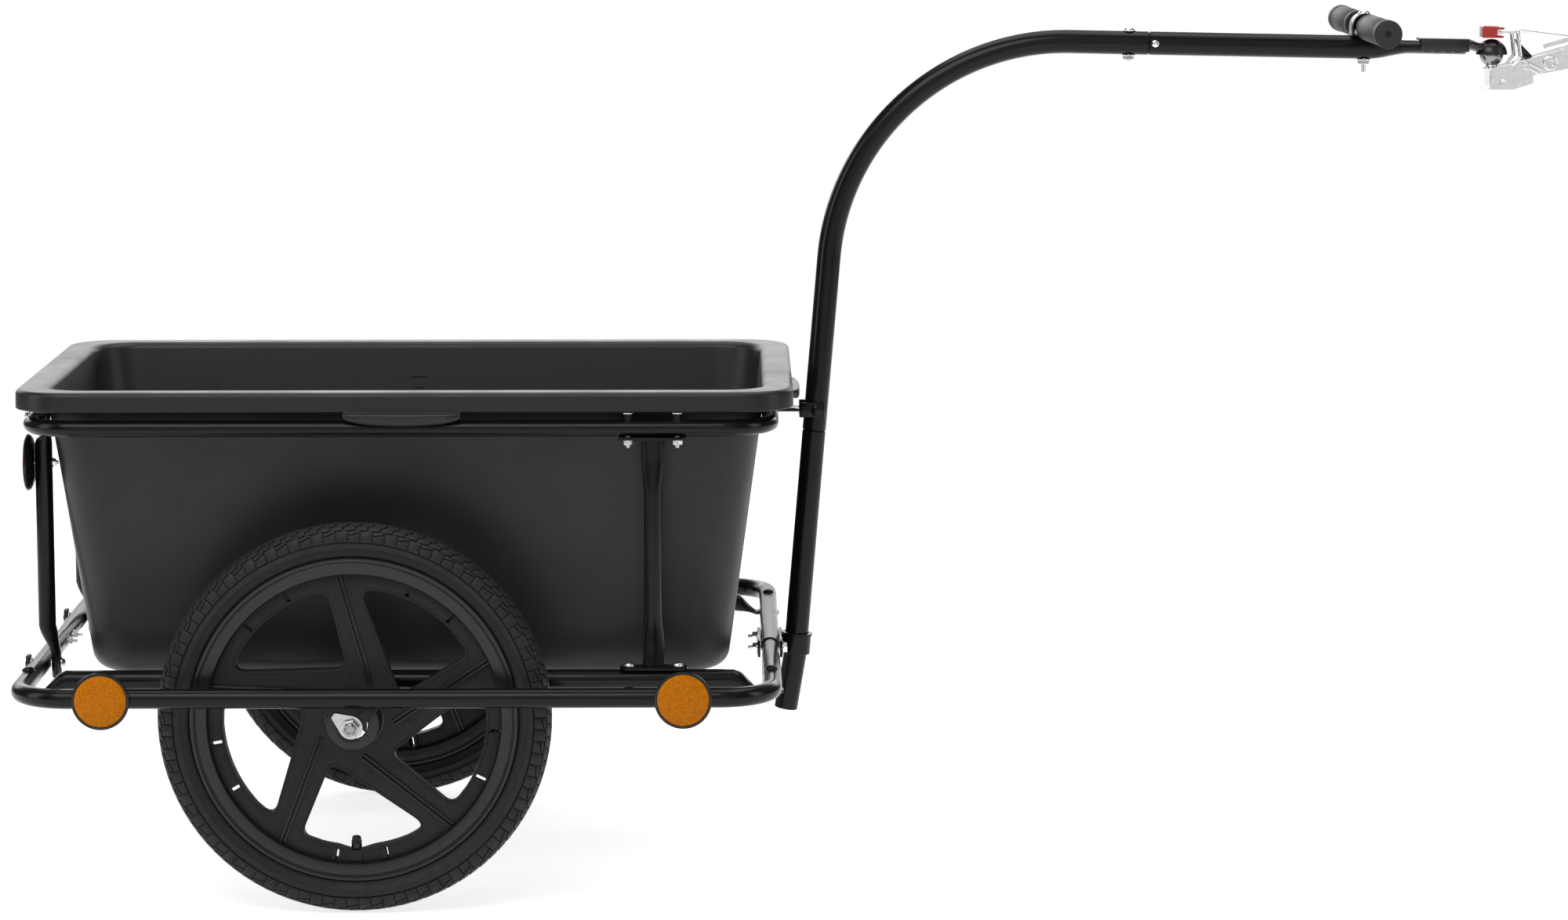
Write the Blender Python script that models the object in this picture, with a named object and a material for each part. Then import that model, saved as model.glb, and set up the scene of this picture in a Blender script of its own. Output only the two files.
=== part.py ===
"""Two-wheeled bicycle trailer: a moulded tub in a tube frame, with a seat post hitch.

Metres. X points forwards, Z up, and the right-hand side is at -Y. The pieces are placed
in a frame whose X = 0 is the wheel axle and whose Z = 0 is the ground. An empty then
carries them all to where the middle of the whole box stands over the origin.
"""

import math

import bmesh
import bpy
from mathutils import Matrix, Vector

# Clearances
GAP = 0.0003  # between pieces that touch, and round pins
BOLT_RADIUS = 0.003
BOLT_HOLE = BOLT_RADIUS + GAP

# How far a drill runs past its hole, and how far joined forms reach into each other
DRILL_REACH = 0.030
FUSE = 0.001

# Tub
TUB_X = 0.0475
TUB_DEPTH = 0.3036
TUB_WALL = 0.003
TUB_FLOOR_HALF_LENGTH = 0.330
TUB_FLOOR_HALF_WIDTH = 0.173
TUB_TOP_HALF_LENGTH = 0.3675
TUB_TOP_HALF_WIDTH = 0.212
TUB_CORNER_RADIUS = 0.045
TUB_FLOOR_EDGE = 0.030
TUB_FLOOR_CORNER_EASE = 0.6
RIM_REACH_LENGTH = 0.031
RIM_REACH_WIDTH = 0.030
RIM_CORNER_RADIUS = 0.052
RIM_EDGE = 0.005
SKIRT_DEPTH = 0.0201
GRIP_HALF_LENGTH = 0.060
GRIP_INSIDE = 0.0021
GRIP_END_REACH = 0.0008
GRIP_SWELL = 0.0072
GRIP_DROP = 0.014
GRIP_END_DROP = 0.0021
GRIP_TIP_SHARE = 0.97
GRIP_ROOT_UP = 0.0141
GRIP_SHELF_UP = 0.0111
GRIP_EDGE_UP = 0.0010

# Upper hoop
HOOP_RADIUS = 0.0085
HOOP_CORNER = 0.050
HOOP_FRONT_GAP = 0.0010
HOOP_REAR_GAP = 0.0095
HOOP_SIDE_GAP = 0.0168
HOOP_ABOVE_RAIL = 0.2595
SKIRT_ABOVE_HOOP = 0.0085

# Lower frame
RAIL_RADIUS = 0.010
RAIL_ABOVE_AXLE = 0.029
FRAME_CORNER = 0.055
REAR_BAR_SETBACK = 0.002
FRONT_BAR_AHEAD = 0.001
SOCKET_BORE = 0.0088
SPIGOT_RADIUS = SOCKET_BORE - GAP
SPIGOT_TAPER = 0.090
FRONT_MOUTH_Y = -0.050
FRONT_OVERLAP = 0.095
REAR_MOUTH_Y = 0.008
REAR_OVERLAP = 0.040
TAB_THICKNESS = 0.004
TAB_WIDTH = 0.026
TAB_OVERHANG = 0.012
TAB_TAPER = 0.025
TAB_CLEARANCE = 0.004
BOLT_HEAD_RADIUS = 0.006
BOLT_HEAD_HEIGHT = 0.004
BOLT_CROWN_RADIUS = 0.0043
BOLT_DOME_HEIGHT = 0.0035
BOLT_NUT_HEIGHT = 0.005
BOLT_END = 0.010

# Dropouts
DROPOUT_THICKNESS = 0.004
DROPOUT_TOP = 0.060
DROPOUT_NOSE = 0.016
DROPOUT_SINK = 0.003
INNER_DROPOUT_OUT = 0.006
SLOT_ANGLE = math.radians(-40)

# Legs
FRONT_LEG_BACK = 0.12125
FRONT_LEG_RADIUS = 0.009
FRONT_LEG_FLAT = (0.0115, 0.006)
FRONT_LEG_SEAT = 0.001
FRONT_LEG_FLAT_LENGTH = 0.020
FRONT_LEG_ROUND_FROM = 0.050
LEG_PLATE_HALF = (0.0345, 0.010)
LEG_PLATE_THICKNESS = 0.003
LEG_BOLT_SPACING = 0.050
REAR_LEG_Y = 0.140
REAR_LEG_RADIUS = 0.009
REAR_LEG_SETBACK = 0.0063
REAR_LEG_TAB_HALF = 0.012
REAR_LEG_FOOT = 0.014
REAR_LEG_FLAT_ABOVE_RAIL = 0.002
REAR_LEG_ROUND_ABOVE_RAIL = 0.026
REAR_LEG_ROUND_BELOW_HOOP = 0.018
REAR_LEG_FLAT_BELOW_HOOP = 0.003

# Wheels
TYRE_RADIUS = 0.200
TYRE_HALF_WIDTH = 0.0235
TYRE_WALL = 0.0045
TREAD_DROP = 0.0035
TREAD_HALF_WIDTH = 0.0188
CROWN_HALF_WIDTH = 0.0082
CROWN_INNER_HALF_WIDTH = 0.0070
FLANGE_RADIUS = 0.169
FLANGE_HALF_WIDTH = 0.0185
FLANGE_THICKNESS = 0.003
BEAD_RADIUS = 0.1525
RIM_INNER_RADIUS = 0.134
WEB_HALF = 0.008
HUB_RADIUS = 0.027
HUB_HALF = 0.035
HUB_FOOT = 0.002
BEARING_RADIUS = 0.016
BEARING_LENGTH = 0.010
AXLE_RADIUS = 0.005
COLLAR_RADIUS = 0.0075
OUTER_COLLAR = 0.0142
INNER_COLLAR = 0.0082
AXLE_HEAD = 0.006
AXLE_HEAD_RADIUS = 0.008
AXLE_END = 0.003
WASHER_THICKNESS = 0.002
WASHER_RADIUS = 0.012
WASHER_TIP = 0.022
WASHER_TIP_HALF_ANGLE = 0.12
NUT_HEIGHT = 0.006
NUT_RADIUS = 0.0092
SPOKES = 5
SPOKE_ANGLE = math.radians(106.5)
SPOKE_OFFSET = 0.028
SPOKE_HALF_AT_RIM = 0.016
SPOKE_HALF_AT_HUB = 0.0215
WINDOW_MARGIN = 0.003
WINDOW_CORNER = 0.010
WINDOW_BOW = 1.01
VALVE_CAP_RADIUS = 0.0042
VALVE_CAP_LENGTH = 0.015
VALVE_CAP_EDGE = 0.001
VALVE_END_CLEARANCE = 0.001
VALVE_STEM_RADIUS = 0.003
VALVE_TIP_RADIUS = 0.109
WHEEL_SIDES = 30

# Reflectors
AMBER_RADIUS = 0.029
AMBER_LENS_RADIUS = 0.026
AMBER_THICKNESS = 0.0047
AMBER_REAR_AHEAD = 0.08875
AMBER_FRONT_BACK = 0.08975
RED_RADIUS = 0.0295
RED_LENS_RADIUS = 0.0265
RED_THICKNESS = 0.008
RED_ABOVE_RAIL = 0.212
LENS_SEAT = 0.003
LENS_PROUD = 0.001
STUD_RADIUS = 0.0022
STUD_NUT_RADIUS = 0.004
STUD_NUT_HEIGHT = 0.003

# Drawbar, in the XZ plane through the middle
DRAWBAR_RADIUS = 0.0125
POST_LEAN = math.radians(4.8)
STUB_LEAN = math.radians(9.5)
CLAMP_BELOW_RAIL = 0.0045
STUB_TOP_BELOW_CLAMP = 0.0125
STUB_LENGTH = 0.060
POST_JOINT_ABOVE_RAIL = 0.226
DRAWBAR_ABOVE_RAIL = 0.640
DRAWBAR_BEND = 0.250
FRONT_SLOPE = math.radians(1.1)
BEND_RUN = 0.084
FRONT_RUN = 0.241
SPIGOT_LENGTH = 0.040
SPIGOT_ROOT = 0.010
DRAWBAR_SPIGOT = 0.0105
BUTTON_AHEAD = 0.006
BUTTON_RADIUS = 0.004
BUTTON_LENGTH = 0.009
BUTTON_PROUD = 0.003
BUTTON_EDGE = 0.001
BUTTON_TRAVEL = 0.004
BUTTON_BORE_DEPTH = 0.014
JOINT_BOLT_BACK = 0.021
FLAT_TAPER = 0.035
FLAT_LENGTH = 0.059
FLAT_HALF_WIDTH = 0.0157
FLAT_HALF_HEIGHT = 0.0073
FLAT_RISE = 0.0015

# Clamp on the front crossbar
CLAMP_WALL = 0.003
CLAMP_WELD = 0.001
CLAMP_HALF_HEIGHT = 0.0115
CLAMP_BOLT_Y = 0.033
CLAMP_EAR_Y = 0.042
CLAMP_PLATE_HALF_HEIGHT = 0.009

# Stay from the hoop to the drawbar
STAY_THICKNESS = 0.0032
STAY_BACK = 0.010
STAY_END_CLEARANCE = 0.001
STAY_BOLT_END = 0.006
CHEEK_BACK = 0.018
CHEEK_AHEAD = 0.0108
CHEEK_HALF_HEIGHT = 0.010

# Pull handle
HANDLE_BACK = 0.0133
HANDLE_ABOVE_TUBE = 0.0222
HANDLE_HALF_LENGTH = 0.187
HANDLE_RADIUS = 0.011
GRIP_RADIUS = 0.014
GRIP_FLANGE_RADIUS = 0.0145
GRIP_FLANGE_LENGTH = 0.020
GRIP_LENGTH = 0.142
GRIP_CAP = 0.004
GRIP_HOLE = 0.002
GRIP_EDGE = 0.001
SADDLE_WALL = 0.0025
SADDLE_HALF_LENGTH = 0.014
HANDLE_STUD_BELOW = 0.010

# Coupling head and ball, measured from the ball's centre
BALL_AHEAD = 0.0285
BALL_BELOW = 0.0059
BALL_RADIUS = 0.0125
BALL_PLAY = 0.0005
CUP_WALL = 0.0035
SLEEVE_LENGTH = 0.049
SLEEVE_WALL = 0.002
SLEEVE_DROP = 0.0115
NECK_HALF_HEIGHT = 0.0045
NECK_WAIST = (-0.018, 0.0085)
NECK_END = (-0.006, 0.0080)
NECK_HALF_WIDTH = 0.011
NECK_END_HALF_HEIGHT = 0.004

# Hitch bracket, measured from the ball's centre
PLATE_THICKNESS = 0.003
BRACKET_INNER_Y = 0.015
TOP_PLATE_BELOW = 0.0137
BRACKET_BACK = 0.0035
BRACKET_DROP = 0.0366
BRACKET_STEP = (0.0208, -0.0090)
BRACKET_NECK = (0.0313, -0.0049)
BRACKET_HEEL_X = 0.0418
BRACKET_HEEL_TOP = 0.0214
BRACKET_HEEL_BOTTOM = 0.0300
PLATE_INSET = 0.0005
COVER_AHEAD = 0.0200
LIP_REACH = 0.004
LIP_THICKNESS = 0.002
LIP_INSET = 0.001
ARM_RISE = math.radians(15)
ARM_END = 0.118
ARM_HALF_HEIGHT = 0.0108
ARM_BELOW = 0.0023
ARM_ROOT_BACK = 0.012
COLLAR_PAD_RADIUS = 0.0065
COLLAR_PAD_UP = 0.0018
POST_AXIS_AHEAD = 0.0809
CLAMP_SCREW_OFFSET = 0.0225
CLAMP_SCREW_RADIUS = 0.004
CLAMP_SCREW_HEAD = 0.0072
CLAMP_SCREW_HEAD_HEIGHT = 0.0055
LOCK_PIN = (0.0342, -0.0120)
LOCK_PIN_RADIUS = 0.003
LOCK_PIN_HEAD = 0.005
LOCK_PIN_HEAD_HEIGHT = 0.003
LOCK_PIN_PROUD = 0.0085
SIDE_HOLE = (0.0097, -0.029)
SIDE_HOLE_RADIUS = 0.0029

# Latch frame, its grip and the keeper wire, measured from the ball's centre
LATCH_WIRE = 0.0021
LATCH_BEND = 0.0025
LATCH_PIVOT = (0.0197, -0.0092)
LATCH_ELBOW = (0.0272, -0.0017)
LATCH_TOP = (0.0239, 0.0255)
LATCH_CLEARANCE = 0.0005
LEVER_HALF_WIDTH = 0.005
LEVER_HALF_HEIGHT = 0.0015
LEVER_END = -0.002
LEVER_HEIGHT = 0.0238
LATCH_GRIP_BACK = -0.0113
LATCH_GRIP_FRONT = 0.0115
LATCH_GRIP_TOP = 0.0303
LATCH_GRIP_BOTTOM = 0.0172
LATCH_GRIP_HALF_WIDTH = 0.011
LATCH_GRIP_EDGE = 0.0025
KEEPER_WIRE = 0.0017
KEEPER_BEND_RADIUS = 0.0022
KEEPER_DIP = 0.0015
KEEPER_Y = 0.0262
KEEPER_START = (0.0255, 0.0268)
KEEPER_BEND = (0.0687, 0.0214)
KEEPER_FOOT = (0.0809, 0.0045)

# Spring clip in the lock pin
CLIP_WIRE = 0.0009
CLIP_ANGLE = math.radians(-27.7)
CLIP_LEG_TIP = 0.006
CLIP_LEG_BACK = 0.015
CLIP_LEG_OFFSET = 0.0046
CLIP_FROM_PLATE = 0.0051

# Heights and places worked out from the sizes above
AXLE_Z = TYRE_RADIUS
RAIL_Z = AXLE_Z + RAIL_ABOVE_AXLE
HOOP_Z = RAIL_Z + HOOP_ABOVE_RAIL
SKIRT_Z = HOOP_Z + HOOP_RADIUS + SKIRT_ABOVE_HOOP
RIM_Z = SKIRT_Z + SKIRT_DEPTH
TUB_FLOOR_Z = RIM_Z - TUB_DEPTH


def tub_half(z, floor_half, top_half):
    """Half of the tub's body at a height, on its outer face, which tapers evenly."""
    return floor_half + (top_half - floor_half) * (z - TUB_FLOOR_Z) / (SKIRT_Z - TUB_FLOOR_Z)


BODY_HALF_LENGTH = tub_half(HOOP_Z, TUB_FLOOR_HALF_LENGTH, TUB_TOP_HALF_LENGTH)
BODY_HALF_WIDTH = tub_half(HOOP_Z, TUB_FLOOR_HALF_WIDTH, TUB_TOP_HALF_WIDTH)
HOOP_FRONT_X = TUB_X + BODY_HALF_LENGTH + HOOP_FRONT_GAP + HOOP_RADIUS
HOOP_REAR_X = TUB_X - BODY_HALF_LENGTH - HOOP_REAR_GAP - HOOP_RADIUS
HOOP_Y = BODY_HALF_WIDTH + HOOP_SIDE_GAP + HOOP_RADIUS

INNER_RAIL_Y = HOOP_Y
INNER_DROPOUT_Y = INNER_RAIL_Y + INNER_DROPOUT_OUT
HUB_INNER_Y = INNER_DROPOUT_Y + DROPOUT_THICKNESS / 2 + INNER_COLLAR + 2 * GAP
WHEEL_Y = HUB_INNER_Y + HUB_HALF
OUTER_RAIL_Y = WHEEL_Y + HUB_HALF + OUTER_COLLAR + 2 * GAP + DROPOUT_THICKNESS / 2
OUTER_DROPOUT_Y = OUTER_RAIL_Y
FRONT_BAR_X = HOOP_FRONT_X + FRONT_BAR_AHEAD
REAR_BAR_X = HOOP_REAR_X - REAR_BAR_SETBACK
FRONT_LEG_X = FRONT_BAR_X - FRONT_LEG_BACK
AMBER_REAR_X = REAR_BAR_X + AMBER_REAR_AHEAD
AMBER_FRONT_X = FRONT_BAR_X - AMBER_FRONT_BACK

CLAMP_Z = RAIL_Z - CLAMP_BELOW_RAIL
POST_STANDOFF = 2 * (CLAMP_WALL + GAP) - CLAMP_WELD
POST_CLAMP = Vector((FRONT_BAR_X + RAIL_RADIUS + POST_STANDOFF + DRAWBAR_RADIUS, 0, CLAMP_Z))
POST_UP = Vector((math.sin(POST_LEAN), 0, math.cos(POST_LEAN)))
STUB_UP = Vector((math.sin(STUB_LEAN), 0, math.cos(STUB_LEAN)))
FRONT_WAY = Vector((math.cos(FRONT_SLOPE), 0, -math.sin(FRONT_SLOPE)))
DRAWBAR_NORMAL = Vector((math.sin(FRONT_SLOPE), 0, math.cos(FRONT_SLOPE)))
STUB_TOP = POST_CLAMP - POST_UP * STUB_TOP_BELOW_CLAMP
STUB_BOTTOM = STUB_TOP - STUB_UP * STUB_LENGTH


def on_post(z):
    """The point of the drawbar's leaning lower axis at a height."""
    return POST_CLAMP + POST_UP * ((z - POST_CLAMP.z) / POST_UP.z)


POST_JOINT = on_post(RAIL_Z + POST_JOINT_ABOVE_RAIL)
BEND_CENTRE_Z = RAIL_Z + DRAWBAR_ABOVE_RAIL - DRAWBAR_BEND
BEND_START = on_post(BEND_CENTRE_Z + DRAWBAR_BEND * math.sin(POST_LEAN))
BEND_CENTRE = BEND_START + DRAWBAR_BEND * Vector((math.cos(POST_LEAN), 0, -math.sin(POST_LEAN)))
BEND_END = BEND_CENTRE + DRAWBAR_BEND * DRAWBAR_NORMAL
FRONT_JOINT = BEND_END + FRONT_WAY * BEND_RUN
FLAT_START = FRONT_JOINT + FRONT_WAY * FRONT_RUN
FLAT_END = FLAT_START + FRONT_WAY * (FLAT_TAPER + FLAT_LENGTH)
JOINT_BOLT = FRONT_JOINT - FRONT_WAY * JOINT_BOLT_BACK
BUTTON = FRONT_JOINT + FRONT_WAY * BUTTON_AHEAD
HANDLE_FOOT = FLAT_START - FRONT_WAY * HANDLE_BACK
HANDLE = HANDLE_FOOT + Vector((0, 0, HANDLE_ABOVE_TUBE))
BALL = FLAT_END + Vector((BALL_AHEAD, 0, -BALL_BELOW))

DOWN = Vector((0, 0, -1))
UP = Vector((0, 0, 1))
FORWARD = Vector((1, 0, 0))
LEFT = Vector((0, 1, 0))


def clear_scene():
    """Removes every object, so that the script can be run again in a full scene."""
    for item in list(bpy.data.objects):
        bpy.data.objects.remove(item)


def material(name, colour, roughness, metallic=0.0):
    """A Principled material, made once for each name."""
    found = bpy.data.materials.get(name)
    if found:
        return found
    made = bpy.data.materials.new(name)
    made.use_nodes = True
    shader = made.node_tree.nodes["Principled BSDF"]
    shader.inputs["Base Color"].default_value = (*colour, 1.0)
    shader.inputs["Roughness"].default_value = roughness
    shader.inputs["Metallic"].default_value = metallic
    made.diffuse_color = (*colour, 1.0)
    return made


def black_tube():
    return material("black_powder_coat", (0.012, 0.012, 0.012), 0.32)


def black_moulding():
    return material("black_moulded_plastic", (0.018, 0.018, 0.018), 0.55)


def tyre_rubber():
    return material("tyre_rubber", (0.014, 0.014, 0.014), 0.75)


def grip_rubber():
    return material("grip_rubber", (0.03, 0.03, 0.03), 0.6)


def zinc():
    return material("zinc_plated_steel", (0.72, 0.73, 0.74), 0.28, 1.0)


def black_housing():
    return material("black_gloss_plastic", (0.015, 0.015, 0.015), 0.3)


def amber():
    return material("amber_lens", (0.75, 0.27, 0.01), 0.3)


def red_lens():
    return material("red_lens", (0.45, 0.01, 0.01), 0.3)


def red_plastic():
    return material("red_plastic", (0.75, 0.03, 0.02), 0.4)


def skin(rings, closed=False):
    """A mesh over rings of equally many points, joined end to end or capped."""
    mesh = bmesh.new()
    rows = [[mesh.verts.new(point) for point in ring] for ring in rings]
    count = len(rows[0])
    pairs = list(zip(rows, rows[1:]))
    if closed:
        pairs.append((rows[-1], rows[0]))
    for here, there in pairs:
        for k in range(count):
            after = (k + 1) % count
            mesh.faces.new((here[k], here[after], there[after], there[k]))
    if not closed:
        mesh.faces.new(rows[0])
        mesh.faces.new(rows[-1])
    bmesh.ops.recalc_face_normals(mesh, faces=mesh.faces)
    return mesh


def revolve(profile, sides, first=0.0):
    """A ring about local Z, from a closed profile of (radius, height) points."""
    rings = []
    for k in range(sides):
        angle = first + 2 * math.pi * k / sides
        rings.append([(r * math.cos(angle), r * math.sin(angle), z) for r, z in profile])
    return skin(rings, closed=True)


def turned(profile, sides, first=0.0):
    """A solid about local Z, from (radius, height) points that run from end to end."""
    rings = []
    for radius, z in profile:
        angles = [first + 2 * math.pi * k / sides for k in range(sides)]
        rings.append([(radius * math.cos(a), radius * math.sin(a), z) for a in angles])
    return skin(rings)


def sweep(path, sizes, across, sides=10, closed=False):
    """A tube along a path. A size is a radius, or half sizes along `across` and square to it."""
    points = [Vector(point) for point in path]
    if not isinstance(sizes, list):
        sizes = [sizes] * len(points)
    count = len(points)
    rings = []
    side = Vector(across).normalized()
    for i, point in enumerate(points):
        if closed:
            along = points[(i + 1) % count] - points[i - 1]
        else:
            along = points[min(i + 1, count - 1)] - points[max(i - 1, 0)]
        along.normalize()
        side = (side - along * side.dot(along)).normalized()
        normal = along.cross(side)
        size = sizes[i]
        half, depth = size if isinstance(size, tuple) else (size, size)
        ring = []
        for k in range(sides):
            angle = 2 * math.pi * (k + 0.5) / sides
            ring.append(point + side * (half * math.cos(angle)) + normal * (depth * math.sin(angle)))
        rings.append(ring)
    return skin(rings, closed)


def rod(start, end, radius, sides=12):
    """A plain cylinder between two points."""
    start, end = Vector(start), Vector(end)
    way = (end - start).normalized()
    across = LEFT if abs(way.dot(LEFT)) < 0.9 else UP
    return sweep([start, end], radius, across, sides)


def prism(outline, low, high, axes="xz"):
    """An outline in the XZ or XY plane, extruded along the third axis from low to high."""
    if axes == "xz":
        rings = [[(x, y, z) for x, z in outline] for y in (low, high)]
    else:
        rings = [[(x, y, z) for x, y in outline] for z in (low, high)]
    return skin(rings)


def box(low, high):
    """A box between two opposite corners."""
    corners = [(low[0], low[2]), (high[0], low[2]), (high[0], high[2]), (low[0], high[2])]
    return prism(corners, low[1], high[1])


def rounded(corners, radius, steps=3, closed=False):
    """A route through the corners, each turned into an arc."""
    corners = [Vector(corner) for corner in corners]
    count = len(corners)
    route = []
    for i, here in enumerate(corners):
        if not closed and i in (0, count - 1):
            route.append(here)
            continue
        back = (corners[i - 1] - here).normalized()
        ahead = (corners[(i + 1) % count] - here).normalized()
        half = back.angle(ahead) / 2
        centre = here + (back + ahead).normalized() * (radius / math.sin(half))
        first = here + back * (radius / math.tan(half)) - centre
        last = here + ahead * (radius / math.tan(half)) - centre
        turn = Matrix.Rotation(first.angle(last) / steps, 3, first.cross(last).normalized())
        for _ in range(steps + 1):
            route.append(centre + first)
            first = turn @ first
    return route


def rounded_rectangle(half_x, half_y, radius, z, centre_x=0.0, steps=3):
    """The points of a level rectangle with round corners."""
    points = []
    for quarter, (sx, sy) in enumerate(((1, 1), (-1, 1), (-1, -1), (1, -1))):
        for k in range(steps + 1):
            angle = math.pi / 2 * (quarter + k / steps)
            x = centre_x + sx * (half_x - radius) + radius * math.cos(angle)
            y = sy * (half_y - radius) + radius * math.sin(angle)
            points.append((x, y, z))
    return points


def ball_shape(centre, radius, segments=20):
    """A sphere with its poles up and down."""
    mesh = bmesh.new()
    place = Matrix.Translation(centre)
    bmesh.ops.create_uvsphere(
        mesh, u_segments=segments, v_segments=segments // 2, radius=radius, matrix=place
    )
    return mesh


class Trailer:
    """Holds the parent empty and turns bare meshes into placed, named objects."""

    def __init__(self):
        self.root = bpy.data.objects.new("trailer", None)
        bpy.context.scene.collection.objects.link(self.root)
        self.pieces = []
        self.helpers = 0

    def piece(self, name, shape, finish, origin=(0, 0, 0), turn=None, smooth=40):
        """A named piece. Its origin is where it turns or sits, and `turn` rotates its own axes."""
        item = self.object(name, shape, origin, turn)
        item.data.materials.append(finish)
        item.data.shade_smooth()
        item.data.set_sharp_from_angle(angle=math.radians(smooth))
        self.pieces.append(item)
        return item

    def object(self, name, shape, origin, turn):
        data = bpy.data.meshes.new(name)
        origin = Vector(origin)
        if turn is None:
            bmesh.ops.translate(shape, verts=shape.verts, vec=-origin)
        shape.to_mesh(data)
        shape.free()
        item = bpy.data.objects.new(name, data)
        bpy.context.scene.collection.objects.link(item)
        item.parent = self.root
        item.location = origin
        if turn is not None:
            item.rotation_euler = turn
        return item

    def helper(self, shape, origin=(0, 0, 0), turn=None):
        """A hidden shape that a Boolean adds or takes away."""
        self.helpers += 1
        item = self.object(f"helper_{self.helpers:03d}", shape, origin, turn)
        item.hide_render = True
        item.display_type = "WIRE"
        return item

    def combine(self, target, shapes, operation):
        for shape in shapes:
            tool = shape if isinstance(shape, bpy.types.Object) else self.helper(shape)
            step = target.modifiers.new(operation.lower(), "BOOLEAN")
            step.operation = operation
            step.solver = "EXACT"
            step.object = tool

    def add(self, target, *shapes):
        self.combine(target, shapes, "UNION")

    def cut(self, target, *shapes):
        self.combine(target, shapes, "DIFFERENCE")

    def centre_on_origin(self):
        """Moves everything so that the middle of the whole box stands over the origin."""
        bpy.context.view_layer.update()
        graph = bpy.context.evaluated_depsgraph_get()
        reach = []
        for item in self.pieces:
            solid = item.evaluated_get(graph)
            reach += [(solid.matrix_world @ Vector(corner)).x for corner in solid.bound_box]
        self.root.location.x = -(min(reach) + max(reach)) / 2


def facing(side):
    """The rotation that points a piece's own Z axis out of the given side, its Y axis up."""
    return (math.pi / 2, 0, math.pi if side > 0 else 0)


def name_of(side):
    return "left" if side > 0 else "right"


def make_tub(trailer):
    """The moulded tub: body, rolled rim, skirt and four half-moon grips, one wall thick."""
    rim_length = TUB_TOP_HALF_LENGTH + RIM_REACH_LENGTH
    rim_width = TUB_TOP_HALF_WIDTH + RIM_REACH_WIDTH
    rings = []

    def ring(half_x, half_y, radius, z):
        rings.append(rounded_rectangle(half_x, half_y, radius, z, TUB_X))

    def body(z, inset, radius_less=0.0):
        half_x = tub_half(z, TUB_FLOOR_HALF_LENGTH, TUB_TOP_HALF_LENGTH) - inset
        half_y = tub_half(z, TUB_FLOOR_HALF_WIDTH, TUB_TOP_HALF_WIDTH) - inset
        ring(half_x, half_y, TUB_CORNER_RADIUS - radius_less, z)

    turns = [math.radians(angle) for angle in (0, 30, 60, 90)]
    for angle in turns:
        inset = TUB_FLOOR_EDGE * (1 - math.sin(angle))
        body(TUB_FLOOR_Z + TUB_FLOOR_EDGE * (1 - math.cos(angle)), inset, TUB_FLOOR_CORNER_EASE * inset)
    body(RIM_Z - TUB_WALL, 0.0)
    inner = RIM_CORNER_RADIUS - TUB_WALL
    ring(rim_length - TUB_WALL, rim_width - TUB_WALL, inner, RIM_Z - TUB_WALL)
    ring(rim_length - TUB_WALL, rim_width - TUB_WALL, inner, SKIRT_Z)
    ring(rim_length, rim_width, RIM_CORNER_RADIUS, SKIRT_Z)
    ring(rim_length, rim_width, RIM_CORNER_RADIUS, RIM_Z - RIM_EDGE)
    ring(rim_length - RIM_EDGE, rim_width - RIM_EDGE, RIM_CORNER_RADIUS - RIM_EDGE, RIM_Z)
    body(RIM_Z, TUB_WALL - RIM_EDGE)
    body(RIM_Z - RIM_EDGE, TUB_WALL)
    for angle in reversed(turns):
        inset = TUB_WALL + TUB_FLOOR_EDGE * (1 - math.sin(angle))
        z = TUB_FLOOR_Z + TUB_WALL + TUB_FLOOR_EDGE * (1 - math.cos(angle))
        body(z, inset, TUB_FLOOR_CORNER_EASE * (inset - TUB_WALL))
    tub = trailer.piece("tub", skin(rings), black_moulding(), (TUB_X, 0, SKIRT_Z))
    for quarter in range(4):
        reach = rim_length if quarter % 2 == 0 else rim_width
        trailer.add(tub, half_moon_grip(quarter * math.pi / 2, reach))


def half_moon_grip(heading, reach):
    """A finger lip under the skirt at the middle of one side, swelling outwards and down."""
    stations = 6
    rings = []
    inner = GRIP_INSIDE
    for k in range(stations + 1):
        along = GRIP_HALF_LENGTH * math.sin(math.pi * (k / stations - 0.5)) * GRIP_TIP_SHARE
        swell = math.sqrt(1 - (along / GRIP_HALF_LENGTH) ** 2)
        outer = inner + GRIP_END_REACH + GRIP_SWELL * swell
        low = SKIRT_Z - GRIP_END_DROP - (GRIP_DROP - GRIP_END_DROP) * swell
        section = [
            (-TUB_WALL / 2, SKIRT_Z + GRIP_ROOT_UP),
            (outer / 4, SKIRT_Z + GRIP_SHELF_UP),
            (outer, SKIRT_Z + GRIP_EDGE_UP),
            (outer, low),
            (inner, low),
            (inner, SKIRT_Z + GAP),
            (-TUB_WALL / 2, SKIRT_Z + GAP),
        ]
        ring = []
        for out, z in section:
            x = (reach + out) * math.cos(heading) - along * math.sin(heading)
            y = (reach + out) * math.sin(heading) + along * math.cos(heading)
            ring.append((TUB_X + x, y, z))
        rings.append(ring)
    return skin(rings)


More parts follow.
